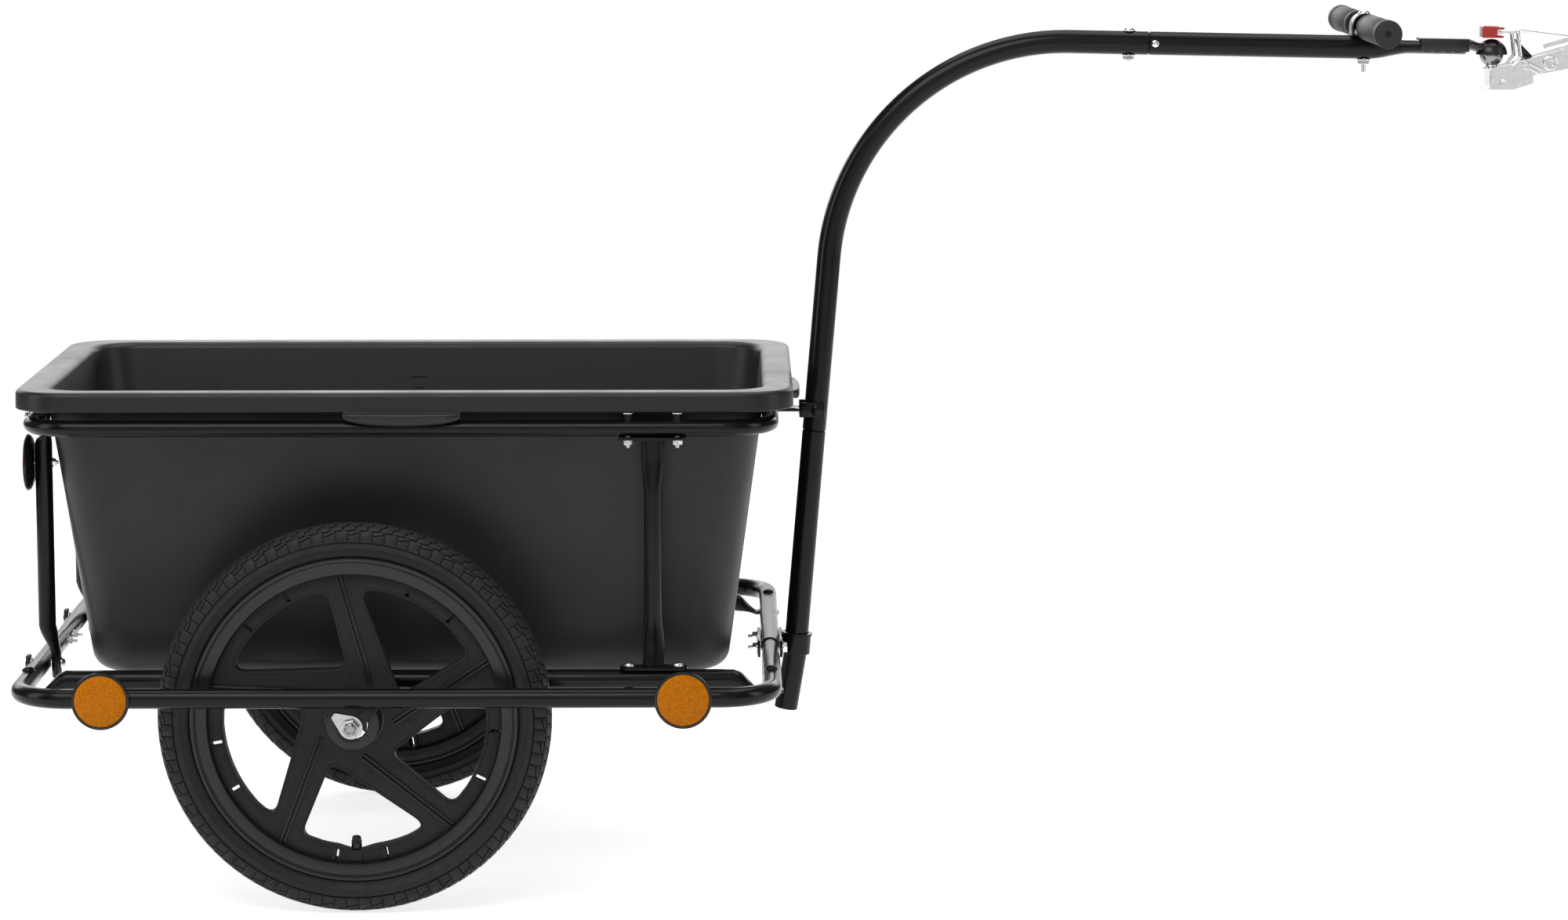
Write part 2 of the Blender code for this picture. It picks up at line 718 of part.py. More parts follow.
def make_hoop(trailer):
    """The upper hoop, with the bolt heads that the tub's skirt rests on."""
    corners = [
        (HOOP_FRONT_X, HOOP_Y, HOOP_Z),
        (HOOP_REAR_X, HOOP_Y, HOOP_Z),
        (HOOP_REAR_X, -HOOP_Y, HOOP_Z),
        (HOOP_FRONT_X, -HOOP_Y, HOOP_Z),
    ]
    route = rounded(corners, HOOP_CORNER, closed=True)
    hoop = trailer.piece("upper_hoop", sweep(route, HOOP_RADIUS, UP, 8, True), black_tube())
    for side in (-1, 1):
        for shift in (-0.5, 0.5):
            x = FRONT_LEG_X + shift * LEG_BOLT_SPACING
            foot = (x, side * HOOP_Y, HOOP_Z)
            head = (x, side * HOOP_Y, SKIRT_Z - GAP)
            trailer.add(hoop, rod(foot, head, BOLT_HEAD_RADIUS, 8))
    stay_bolt = Vector((HOOP_FRONT_X, 0, HOOP_Z))
    trailer.cut(hoop, rod(stay_bolt + DOWN * DRILL_REACH, stay_bolt + UP * DRILL_REACH, BOLT_HOLE, 10))


def dropout(y, side):
    """The plate that hangs from a rail and holds the axle."""
    top = RAIL_ABOVE_AXLE - DROPOUT_SINK
    half = DROPOUT_TOP / 2
    outline = [(-half, top), (half, top)]
    for k in range(9):
        angle = math.radians(15 - 210 * k / 8)
        outline.append((DROPOUT_NOSE * math.cos(angle), DROPOUT_NOSE * math.sin(angle)))
    placed = [(x, AXLE_Z + z) for x, z in outline]
    middle = side * y
    return prism(placed, middle - DROPOUT_THICKNESS / 2, middle + DROPOUT_THICKNESS / 2)


def axle_slot(side):
    """The open slot that the axle slides up into, cut through both dropouts of a side."""
    radius = AXLE_RADIUS + GAP
    outline = []
    for k in range(9):
        angle = SLOT_ANGLE + math.radians(90 + 180 * k / 8)
        outline.append((radius * math.cos(angle), radius * math.sin(angle)))
    length = 2 * DROPOUT_NOSE
    way = (math.cos(SLOT_ANGLE) * length, math.sin(SLOT_ANGLE) * length)
    outline.append((outline[-1][0] + way[0], outline[-1][1] + way[1]))
    outline.append((outline[0][0] + way[0], outline[0][1] + way[1]))
    placed = [(x, AXLE_Z + z) for x, z in outline]
    low = side * (INNER_DROPOUT_Y - RAIL_RADIUS)
    high = side * (OUTER_DROPOUT_Y + RAIL_RADIUS)
    return prism(placed, min(low, high), max(low, high))


def make_frame_half(trailer, side, slot):
    """One half of the lower frame: outer rail, corners, half crossbars and dropout."""
    outer = side * OUTER_RAIL_Y
    if side < 0:
        front_end = FRONT_MOUTH_Y + FRONT_OVERLAP
        rear_end = REAR_MOUTH_Y
    else:
        front_end = FRONT_MOUTH_Y
        rear_end = REAR_MOUTH_Y - REAR_OVERLAP
    reduced_x = FRONT_BAR_X if side < 0 else REAR_BAR_X
    mouth_y = FRONT_MOUTH_Y if side < 0 else REAR_MOUTH_Y
    shoulder = mouth_y + side * GAP
    taper_end = shoulder + side * SPIGOT_TAPER
    corners = [
        (REAR_BAR_X, rear_end, RAIL_Z),
        (REAR_BAR_X, outer, RAIL_Z),
        (FRONT_BAR_X, outer, RAIL_Z),
        (FRONT_BAR_X, front_end, RAIL_Z),
    ]
    route = rounded(corners, FRAME_CORNER)
    extra = [Vector((reduced_x, y, RAIL_Z)) for y in (shoulder, taper_end)]
    if side < 0:
        route = route[:-1] + [extra[1], extra[0]] + route[-1:]
        sizes = [RAIL_RADIUS] * (len(route) - 2) + [SPIGOT_RADIUS] * 2
    else:
        route = route[:1] + extra + route[1:]
        sizes = [SPIGOT_RADIUS] * 2 + [RAIL_RADIUS] * (len(route) - 2)
    half = trailer.piece(f"frame_half_{name_of(side)}", sweep(route, sizes, UP), black_tube())
    trailer.add(half, dropout(OUTER_DROPOUT_Y, side))
    trailer.cut(half, slot)
    plain_x = REAR_BAR_X if side < 0 else FRONT_BAR_X
    plain_y = REAR_MOUTH_Y if side < 0 else FRONT_MOUTH_Y
    depth = (REAR_OVERLAP if side < 0 else FRONT_OVERLAP) + GAP
    start = (plain_x, plain_y - side * DRILL_REACH, RAIL_Z)
    end = (plain_x, plain_y + side * depth, RAIL_Z)
    trailer.cut(half, rod(start, end, SOCKET_BORE))
    for y in (-CLAMP_BOLT_Y, CLAMP_BOLT_Y):
        centre = Vector((FRONT_BAR_X, y, CLAMP_Z))
        trailer.cut(half, rod(centre - FORWARD * DRILL_REACH, centre + FORWARD * DRILL_REACH, BOLT_HOLE, 10))
    for x in (REAR_BAR_X, FRONT_BAR_X):
        centre = Vector((x, side * INNER_RAIL_Y, RAIL_Z))
        trailer.cut(half, rod(centre + DOWN * DRILL_REACH, centre + UP * DRILL_REACH, BOLT_HOLE, 10))
    for x in (AMBER_REAR_X, AMBER_FRONT_X):
        inner = (x, side * (OUTER_RAIL_Y - 2 * RAIL_RADIUS), RAIL_Z)
        beyond = (x, side * (OUTER_RAIL_Y + 2 * RAIL_RADIUS), RAIL_Z)
        trailer.cut(half, rod(inner, beyond, STUD_RADIUS + GAP, 8))


def make_inner_rail(trailer, side, slot):
    """An inner rail, flattened at both ends to go under the crossbars, with its bolts."""
    y = side * INNER_RAIL_Y
    tab_z = RAIL_Z - RAIL_RADIUS - GAP - TAB_THICKNESS / 2
    flat = (TAB_WIDTH / 2, TAB_THICKNESS / 2)
    rear = REAR_BAR_X - TAB_OVERHANG
    front = FRONT_BAR_X + TAB_OVERHANG
    rear_flat = REAR_BAR_X + RAIL_RADIUS + TAB_CLEARANCE
    front_flat = FRONT_BAR_X - RAIL_RADIUS - TAB_CLEARANCE
    stations = [
        (rear, tab_z, flat),
        (rear_flat, tab_z, flat),
        (rear_flat + TAB_TAPER, RAIL_Z, RAIL_RADIUS),
        (front_flat - TAB_TAPER, RAIL_Z, RAIL_RADIUS),
        (front_flat, tab_z, flat),
        (front, tab_z, flat),
    ]
    route = [(x, y, z) for x, z, _ in stations]
    sizes = [size for _, _, size in stations]
    rail = trailer.piece(f"inner_rail_{name_of(side)}", sweep(route, sizes, LEFT), black_tube())
    trailer.add(rail, dropout(INNER_DROPOUT_Y, side))
    trailer.cut(rail, slot)
    head_z = RAIL_Z + RAIL_RADIUS + GAP
    for x in (REAR_BAR_X, FRONT_BAR_X):
        profile = [
            (BOLT_RADIUS, tab_z - TAB_THICKNESS),
            (BOLT_RADIUS, head_z),
            (BOLT_HEAD_RADIUS, head_z),
            (BOLT_CROWN_RADIUS, head_z + BOLT_HEAD_HEIGHT),
        ]
        trailer.add(rail, trailer.helper(turned(profile, 10), (x, y, 0), (0, 0, 0)))


def make_front_leg(trailer, side):
    """An upright between the inner rail and the hoop, with a plate welded to each end."""
    y = side * INNER_RAIL_Y
    low = RAIL_Z + RAIL_RADIUS + GAP
    high = HOOP_Z - HOOP_RADIUS - GAP
    rises = (FRONT_LEG_SEAT, FRONT_LEG_FLAT_LENGTH, FRONT_LEG_ROUND_FROM)
    heights = [low + rise for rise in rises] + [high - rise for rise in reversed(rises)]
    round_tube = (FRONT_LEG_RADIUS, FRONT_LEG_RADIUS)
    sizes = [FRONT_LEG_FLAT, FRONT_LEG_FLAT, round_tube, round_tube, FRONT_LEG_FLAT, FRONT_LEG_FLAT]
    route = [(FRONT_LEG_X, y, z) for z in heights]
    shape = sweep(route, sizes, FORWARD, 10)
    leg = trailer.piece(f"front_leg_{name_of(side)}", shape, black_tube())
    half_x, half_y = LEG_PLATE_HALF
    for bottom in (low, high - LEG_PLATE_THICKNESS):
        corner = (FRONT_LEG_X - half_x, y - half_y, bottom)
        opposite = (FRONT_LEG_X + half_x, y + half_y, bottom + LEG_PLATE_THICKNESS)
        trailer.add(leg, box(corner, opposite))


def make_rear_leg(trailer, side):
    """An upright at the back, flattened against the inner sides of the crossbar and hoop."""
    y = side * REAR_LEG_Y
    half = TAB_THICKNESS / 2
    low_x = REAR_BAR_X + RAIL_RADIUS + GAP + half
    high_x = HOOP_REAR_X + HOOP_RADIUS + GAP + half
    tube_x = high_x - REAR_LEG_SETBACK
    low = RAIL_Z - REAR_LEG_FOOT
    high = HOOP_Z + HOOP_RADIUS
    flat = (REAR_LEG_TAB_HALF, half)
    stations = [
        (low_x, low, flat),
        (low_x, RAIL_Z + RAIL_RADIUS + REAR_LEG_FLAT_ABOVE_RAIL, flat),
        (tube_x, RAIL_Z + RAIL_RADIUS + REAR_LEG_ROUND_ABOVE_RAIL, REAR_LEG_RADIUS),
        (tube_x, HOOP_Z - HOOP_RADIUS - REAR_LEG_ROUND_BELOW_HOOP, REAR_LEG_RADIUS),
        (high_x, HOOP_Z - HOOP_RADIUS - REAR_LEG_FLAT_BELOW_HOOP, flat),
        (high_x, high, flat),
    ]
    route = [(x, y, z) for x, z, _ in stations]
    sizes = [size for _, _, size in stations]
    leg = trailer.piece(f"rear_leg_{name_of(side)}", sweep(route, sizes, LEFT, 10), black_tube())
    centre = Vector((tube_x, y, RAIL_Z + RED_ABOVE_RAIL))
    trailer.cut(leg, rod(centre - FORWARD * DRILL_REACH, centre + FORWARD * DRILL_REACH, STUD_RADIUS + GAP, 8))
    return tube_x


def make_reflector(trailer, name, place, turn, size, lens_finish, lens_name, through):
    """A round housing with its stud and nut, and the lens in its recess. Local Z points out."""
    radius, lens_radius, thickness = size
    recess = thickness - LENS_SEAT
    sides = 18
    housing = [
        (STUD_RADIUS, -through),
        (STUD_RADIUS, 0.0),
        (radius, 0.0),
        (radius, thickness),
        (lens_radius + GAP, thickness),
        (lens_radius + GAP, recess),
    ]
    body = trailer.piece(name, turned(housing, sides), black_housing(), place, turn)
    nut = turned(
        [(STUD_NUT_RADIUS, -through - STUD_NUT_HEIGHT), (STUD_NUT_RADIUS, -through)], 6
    )
    trailer.add(body, trailer.helper(nut, place, turn))
    front = thickness + LENS_PROUD
    lens = [
        (lens_radius, recess + GAP),
        (lens_radius, front - LENS_PROUD),
        (lens_radius - LENS_PROUD, front),
    ]
    trailer.piece(lens_name, turned(lens, sides), lens_finish, place, turn)


def make_reflectors(trailer, rear_leg_x):
    """Four amber reflectors on the outer rails and two red ones on the rear legs."""
    size = (AMBER_RADIUS, AMBER_LENS_RADIUS, AMBER_THICKNESS)
    for side in (-1, 1):
        for end, x in (("rear", AMBER_REAR_X), ("front", AMBER_FRONT_X)):
            where = f"{end}_{name_of(side)}"
            place = (x, side * (OUTER_RAIL_Y + RAIL_RADIUS + GAP), RAIL_Z)
            through = 2 * (RAIL_RADIUS + GAP)
            make_reflector(
                trailer, f"amber_housing_{where}", place, facing(side), size,
                amber(), f"amber_lens_{where}", through,
            )
        size_red = (RED_RADIUS, RED_LENS_RADIUS, RED_THICKNESS)
        place = (rear_leg_x - REAR_LEG_RADIUS - GAP, side * REAR_LEG_Y, RAIL_Z + RED_ABOVE_RAIL)
        through = 2 * (REAR_LEG_RADIUS + GAP)
        make_reflector(
            trailer, f"red_housing_{name_of(side)}", place, (0, -math.pi / 2, 0), size_red,
            red_lens(), f"red_lens_{name_of(side)}", through,
        )


def wheel_profile():
    """The wheel's section as a closed outline of (radius, distance from the wheel plane)."""
    bore = AXLE_RADIUS + 10 * GAP
    seat = HUB_HALF - BEARING_LENGTH - 2 * GAP
    flange_inner = FLANGE_HALF_WIDTH - FLANGE_THICKNESS
    outer_side = [
        (bore, seat),
        (BEARING_RADIUS + GAP, seat),
        (BEARING_RADIUS + GAP, HUB_HALF),
        (HUB_RADIUS, HUB_HALF),
        (HUB_RADIUS + HUB_FOOT, WEB_HALF),
        (RIM_INNER_RADIUS, WEB_HALF),
        (BEAD_RADIUS, FLANGE_HALF_WIDTH),
        (FLANGE_RADIUS, FLANGE_HALF_WIDTH),
        (FLANGE_RADIUS, flange_inner),
        (BEAD_RADIUS, flange_inner),
    ]
    return outer_side + [(radius, -offset) for radius, offset in reversed(outer_side)]


def tyre_profile():
    """The tyre's section: beads between the rim's flanges, sidewalls, shoulders and tread."""
    bead = FLANGE_HALF_WIDTH - FLANGE_THICKNESS - GAP
    widest = (BEAD_RADIUS + 2 * TYRE_RADIUS) / 3
    shoulder = TYRE_RADIUS - TREAD_DROP
    outside = [
        (BEAD_RADIUS + GAP, bead),
        (FLANGE_RADIUS + GAP, bead),
        (widest, TYRE_HALF_WIDTH),
        (shoulder, TREAD_HALF_WIDTH),
        (TYRE_RADIUS, CROWN_HALF_WIDTH),
    ]
    inside = [
        (TYRE_RADIUS - TYRE_WALL, CROWN_INNER_HALF_WIDTH),
        (widest, TYRE_HALF_WIDTH - TYRE_WALL),
        (BEAD_RADIUS + GAP, bead - TYRE_WALL),
    ]
    far_outside = [(radius, -offset) for radius, offset in reversed(outside)]
    far_inside = [(radius, -offset) for radius, offset in reversed(inside)]
    return outside + far_outside + far_inside + inside


def meet(p, q, r, s):
    """Where the line through p and q meets the line through r and s."""
    way, other = q - p, s - r
    share = (r - p).cross(other) / way.cross(other)
    return p + way * share


def reach_circle(start, end, radius):
    """Where the line from start through end leaves a circle about the origin."""
    way = (end - start).normalized()
    nearest = start.dot(way)
    return start + way * (-nearest + math.sqrt(nearest**2 - start.length_squared + radius**2))


def window_outline(index):
    """The opening between two spokes, whose edges spread towards the hub."""
    edges = []
    for spoke, hand in ((index, 1), (index + 1, -1)):
        angle = SPOKE_ANGLE - 2 * math.pi * spoke / SPOKES
        way = Vector((math.cos(angle), math.sin(angle)))
        out = Vector((math.sin(angle), -math.cos(angle)))
        near = way * HUB_RADIUS + out * (SPOKE_OFFSET + hand * SPOKE_HALF_AT_HUB)
        far = way * RIM_INNER_RADIUS + out * (SPOKE_OFFSET + hand * SPOKE_HALF_AT_RIM)
        edges.append((near, far))
    (near_a, far_a), (near_b, far_b) = edges
    radius = RIM_INNER_RADIUS - WINDOW_MARGIN
    first = reach_circle(near_a, far_a, radius)
    last = reach_circle(near_b, far_b, radius)
    start = math.atan2(first.y, first.x)
    sweep_angle = (start - math.atan2(last.y, last.x)) % (2 * math.pi)
    arc = []
    for k in (1, 2):
        angle = start - sweep_angle * k / 3
        arc.append(Vector((radius * math.cos(angle), radius * math.sin(angle))) * WINDOW_BOW)
    corners = [meet(near_a, far_a, near_b, far_b), first, *arc, last]
    route = rounded([corner.to_3d() for corner in corners], WINDOW_CORNER, 2, closed=True)
    return [(point.x, point.y) for point in route]


def make_wheel(trailer, side):
    """A wheel with its tyre, valve and bearings. Local Z points out of the trailer's side."""
    where = name_of(side)
    centre = (0, side * WHEEL_Y, AXLE_Z)
    turn = facing(side)
    down = -math.pi / 2
    tyre = revolve(tyre_profile(), WHEEL_SIDES, down)
    trailer.piece(f"tyre_{where}", tyre, tyre_rubber(), centre, turn)
    rim = revolve(wheel_profile(), WHEEL_SIDES, down)
    wheel = trailer.piece(f"wheel_{where}", rim, black_moulding(), centre, turn)
    for index in range(SPOKES):
        outline = window_outline(index)
        cutter = prism(outline, -FLANGE_HALF_WIDTH, FLANGE_HALF_WIDTH, "xy")
        trailer.cut(wheel, trailer.helper(cutter, centre, turn))
    hole = rod((0, 0, AXLE_Z - VALVE_TIP_RADIUS), (0, 0, AXLE_Z - FLANGE_RADIUS), VALVE_STEM_RADIUS + GAP, 10)
    bmesh.ops.translate(hole, verts=hole.verts, vec=(0, side * WHEEL_Y, 0))
    trailer.cut(wheel, hole)
    stem = [
        (VALVE_CAP_RADIUS - VALVE_CAP_EDGE, VALVE_TIP_RADIUS),
        (VALVE_CAP_RADIUS, VALVE_TIP_RADIUS + VALVE_CAP_EDGE),
        (VALVE_CAP_RADIUS, VALVE_TIP_RADIUS + VALVE_CAP_LENGTH),
        (VALVE_STEM_RADIUS, VALVE_TIP_RADIUS + VALVE_CAP_LENGTH),
        (VALVE_STEM_RADIUS, BEAD_RADIUS - VALVE_END_CLEARANCE),
    ]
    valve = turned([(r, -z) for r, z in reversed(stem)], 10)
    trailer.piece(f"valve_{where}", valve, black_moulding(), centre, (0, 0, 0))
    race = [
        (AXLE_RADIUS + GAP, 0),
        (BEARING_RADIUS, 0),
        (BEARING_RADIUS, BEARING_LENGTH),
        (AXLE_RADIUS + GAP, BEARING_LENGTH),
    ]
    for name, sign in (("outer", 1), ("inner", -1)):
        start = sign * (HUB_HALF - GAP) - (BEARING_LENGTH if sign > 0 else 0)
        shape = revolve([(r, start + z) for r, z in race], 14)
        trailer.piece(f"bearing_{name}_{where}", shape, zinc(), centre, turn)


def make_axle(trailer, side):
    """The fixed axle with its cones and head, the washer and the nut. Local Z points out."""
    where = name_of(side)
    centre = (0, side * WHEEL_Y, AXLE_Z)
    turn = facing(side)
    inner_face = INNER_DROPOUT_Y - DROPOUT_THICKNESS / 2 - GAP - WHEEL_Y
    outer_face = OUTER_DROPOUT_Y + DROPOUT_THICKNESS / 2 + GAP - WHEEL_Y
    nut_start = outer_face + WASHER_THICKNESS + GAP
    end = nut_start + NUT_HEIGHT + AXLE_END
    cone_in = HUB_HALF + GAP
    profile = [
        (AXLE_HEAD_RADIUS, inner_face - AXLE_HEAD),
        (AXLE_HEAD_RADIUS, inner_face),
        (AXLE_RADIUS, inner_face),
        (AXLE_RADIUS, -cone_in - INNER_COLLAR),
        (COLLAR_RADIUS, -cone_in - INNER_COLLAR),
        (COLLAR_RADIUS, -cone_in),
        (AXLE_RADIUS, -cone_in),
        (AXLE_RADIUS, cone_in),
        (COLLAR_RADIUS, cone_in),
        (COLLAR_RADIUS, cone_in + OUTER_COLLAR),
        (AXLE_RADIUS, cone_in + OUTER_COLLAR),
        (AXLE_RADIUS, end),
    ]
    trailer.piece(f"axle_{where}", turned(profile, 12), zinc(), centre, turn)
    bore = AXLE_RADIUS + GAP
    angle = math.radians(145)
    outline = []
    for k in range(11):
        bend = angle + math.radians(60 + 240 * k / 10)
        outline.append((WASHER_RADIUS * math.cos(bend), WASHER_RADIUS * math.sin(bend)))
    outline.append((WASHER_TIP * math.cos(angle - WASHER_TIP_HALF_ANGLE), WASHER_TIP * math.sin(angle - WASHER_TIP_HALF_ANGLE)))
    outline.append((WASHER_TIP * math.cos(angle + WASHER_TIP_HALF_ANGLE), WASHER_TIP * math.sin(angle + WASHER_TIP_HALF_ANGLE)))
    placed = [(x, AXLE_Z + z) for x, z in outline]
    faces = [side * (WHEEL_Y + outer_face), side * (WHEEL_Y + outer_face + WASHER_THICKNESS)]
    washer = trailer.piece(f"tab_washer_{where}", prism(placed, min(faces), max(faces)), zinc())
    hole = rod((0, 0, outer_face - NUT_HEIGHT), (0, 0, end + NUT_HEIGHT), bore, 12)
    drill = trailer.helper(hole, centre, turn)
    trailer.cut(washer, drill)
    nut_shape = turned([(NUT_RADIUS, nut_start), (NUT_RADIUS, nut_start + NUT_HEIGHT)], 6)
    nut = trailer.piece(f"axle_nut_{where}", nut_shape, zinc(), centre, turn)
    trailer.cut(nut, drill)


def make_clamp(trailer):
    """The strap round the post, its two bolts through the crossbar and the plate behind."""
    inner = DRAWBAR_RADIUS + GAP
    outer = inner + CLAMP_WALL
    profile = [
        (inner, -CLAMP_HALF_HEIGHT),
        (outer, -CLAMP_HALF_HEIGHT),
        (outer, CLAMP_HALF_HEIGHT),
        (inner, CLAMP_HALF_HEIGHT),
    ]
    clamp = trailer.piece(
        "drawbar_clamp", revolve(profile, 20), black_tube(), POST_CLAMP, (0, POST_LEAN, 0)
    )
    ear_back = FRONT_BAR_X + RAIL_RADIUS + GAP
    half = CLAMP_PLATE_HALF_HEIGHT
    low = (ear_back, -CLAMP_EAR_Y, CLAMP_Z - half)
    trailer.add(clamp, box(low, (ear_back + CLAMP_WALL, CLAMP_EAR_Y, CLAMP_Z + half)))
    plate_front = FRONT_BAR_X - RAIL_RADIUS - GAP
    low = (plate_front - CLAMP_WALL, -CLAMP_EAR_Y, CLAMP_Z - half)
    trailer.add(clamp, box(low, (plate_front, CLAMP_EAR_Y, CLAMP_Z + half)))
    for y in (-CLAMP_BOLT_Y, CLAMP_BOLT_Y):
        head = Vector((ear_back + CLAMP_WALL, y, CLAMP_Z))
        nut = Vector((plate_front - CLAMP_WALL, y, CLAMP_Z))
        tip = nut - FORWARD * BOLT_END
        trailer.add(
            clamp,
            rod(tip, head, BOLT_RADIUS, 10),
            rod(head - FORWARD * FUSE, head + FORWARD * BOLT_HEAD_HEIGHT, BOLT_HEAD_RADIUS, 8),
            rod(nut - FORWARD * BOLT_NUT_HEIGHT, nut + FORWARD * FUSE, BOLT_HEAD_RADIUS, 6),
        )


def make_stay(trailer):
    """The strap from under the hoop to the drawbar, its cheeks and its two bolts."""
    top = HOOP_Z - HOOP_RADIUS - GAP
    middle = top - STAY_THICKNESS / 2
    tube = on_post(middle)
    half = DRAWBAR_RADIUS + GAP + STAY_THICKNESS
    reach = tube.x - DRAWBAR_RADIUS - 2 * GAP - STAY_END_CLEARANCE
    low = (HOOP_FRONT_X - STAY_BACK, -half, top - STAY_THICKNESS)
    stay = trailer.piece("hoop_stay", box(low, (reach, half, top)), black_tube())
    for side in (-1, 1):
        ends = sorted((side * (DRAWBAR_RADIUS + GAP), side * half))
        low = (tube.x - CHEEK_BACK, ends[0], middle - CHEEK_HALF_HEIGHT)
        high = (tube.x + CHEEK_AHEAD, ends[1], middle + CHEEK_HALF_HEIGHT)
        trailer.add(stay, box(low, high))
    overhang = half + BOLT_HEAD_HEIGHT
    trailer.add(
        stay,
        rod(tube - LEFT * overhang, tube + LEFT * overhang, BOLT_RADIUS, 10),
        rod(tube - LEFT * overhang, tube - LEFT * (half - FUSE), BOLT_HEAD_RADIUS, 8),
        rod(tube + LEFT * (half - FUSE), tube + LEFT * overhang, BOLT_HEAD_RADIUS, 6),
    )
    head_z = HOOP_Z + HOOP_RADIUS + GAP
    profile = [
        (BOLT_RADIUS, middle - STAY_BOLT_END),
        (BOLT_RADIUS, head_z),
        (BOLT_HEAD_RADIUS, head_z),
        (BOLT_CROWN_RADIUS, head_z + BOLT_HEAD_HEIGHT),
    ]
    bolt = trailer.helper(turned(profile, 10), (HOOP_FRONT_X, 0, 0), (0, 0, 0))
    trailer.add(stay, bolt)
    return tube


def make_drawbar(trailer, stay_bolt):
    """The post, the bent tube and the front tube, each with a spigot into the next."""
    joint_half = GAP / 2
    route = [STUB_BOTTOM, STUB_TOP, POST_JOINT - POST_UP * joint_half]
    post = trailer.piece("drawbar_post", sweep(route, DRAWBAR_RADIUS, LEFT), black_tube())
    depth = SPIGOT_LENGTH + 3 * GAP
    bore = rod(POST_JOINT - POST_UP * depth, POST_JOINT + POST_UP * DRILL_REACH, DRAWBAR_SPIGOT + GAP)
    trailer.cut(post, bore)

    turns = 12
    route = [POST_JOINT + POST_UP * joint_half]
    start = BEND_START - BEND_CENTRE
    total = math.pi / 2 - POST_LEAN + FRONT_SLOPE
    for k in range(turns + 1):
        route.append(BEND_CENTRE + Matrix.Rotation(total * k / turns, 3, "Y") @ start)
    route.append(FRONT_JOINT - FRONT_WAY * joint_half)
    bend = trailer.piece("drawbar_bend", sweep(route, DRAWBAR_RADIUS, LEFT), black_tube())
    trailer.add(
        bend,
        rod(POST_JOINT - POST_UP * SPIGOT_LENGTH, POST_JOINT + POST_UP * SPIGOT_ROOT, DRAWBAR_SPIGOT),
        rod(FRONT_JOINT - FRONT_WAY * SPIGOT_ROOT, FRONT_JOINT + FRONT_WAY * SPIGOT_LENGTH, DRAWBAR_SPIGOT),
    )
    trailer.cut(
        bend,
        rod(stay_bolt - LEFT * DRILL_REACH, stay_bolt + LEFT * DRILL_REACH, BOLT_HOLE, 10),
        rod(JOINT_BOLT - UP * DRILL_REACH, JOINT_BOLT + UP * DRILL_REACH, BOLT_HOLE, 10),
    )

    flat_way = FRONT_WAY * FLAT_TAPER
    flat_lift = DRAWBAR_NORMAL * FLAT_RISE
    flat = (FLAT_HALF_WIDTH, FLAT_HALF_HEIGHT)
    route = [
        FRONT_JOINT + FRONT_WAY * joint_half,
        FLAT_START,
        FLAT_START + (flat_way + flat_lift) / 2,
        FLAT_START + flat_way + flat_lift,
        FLAT_END + flat_lift,
    ]
    middle = ((DRAWBAR_RADIUS + flat[0]) / 2, (DRAWBAR_RADIUS + flat[1]) / 2)
    sizes = [DRAWBAR_RADIUS, DRAWBAR_RADIUS, middle, flat, flat]
    front = trailer.piece("drawbar_front", sweep(route, sizes, LEFT), black_tube())
    depth = SPIGOT_LENGTH + 3 * GAP
    behind = FRONT_JOINT - FRONT_WAY * DRILL_REACH
    bore = rod(behind, FRONT_JOINT + FRONT_WAY * depth, DRAWBAR_SPIGOT + GAP)
    trailer.cut(front, bore)
    mouth = BUTTON - LEFT * (DRAWBAR_RADIUS + DRILL_REACH)
    bottom = BUTTON - LEFT * (DRAWBAR_RADIUS - BUTTON_BORE_DEPTH)
    hole = trailer.helper(rod(mouth, bottom, BUTTON_RADIUS + GAP, 12))
    trailer.cut(front, hole)
    trailer.cut(bend, hole)
    saddle = rod(HANDLE - LEFT * DRILL_REACH, HANDLE + LEFT * DRILL_REACH, HANDLE_RADIUS + GAP, 16)
    hole = rod(HANDLE_FOOT - UP * DRILL_REACH, HANDLE_FOOT + UP * DRILL_REACH, BOLT_HOLE, 10)
    trailer.cut(front, saddle, hole)

    tip = BUTTON - LEFT * (DRAWBAR_RADIUS + BUTTON_PROUD)
    shape = turned(
        [
            (BUTTON_RADIUS, -BUTTON_LENGTH),
            (BUTTON_RADIUS, -BUTTON_EDGE),
            (BUTTON_RADIUS - BUTTON_EDGE, 0.0),
        ],
        12,
    )
    trailer.piece("snap_button", shape, zinc(), tip, facing(-1))

    above = DRAWBAR_RADIUS + GAP
    profile = [
        (BOLT_RADIUS, -above - BOLT_END),
        (BOLT_RADIUS, -above - BOLT_NUT_HEIGHT),
        (BOLT_HEAD_RADIUS, -above - BOLT_NUT_HEIGHT),
        (BOLT_HEAD_RADIUS, -above),
        (BOLT_RADIUS, -above),
        (BOLT_RADIUS, above),
        (BOLT_HEAD_RADIUS, above),
        (BOLT_CROWN_RADIUS, above + BOLT_DOME_HEIGHT),
    ]
    bolt = turned(profile, 10)
    trailer.piece("drawbar_joint_bolt", bolt, zinc(), JOINT_BOLT, (0, 0, 0))


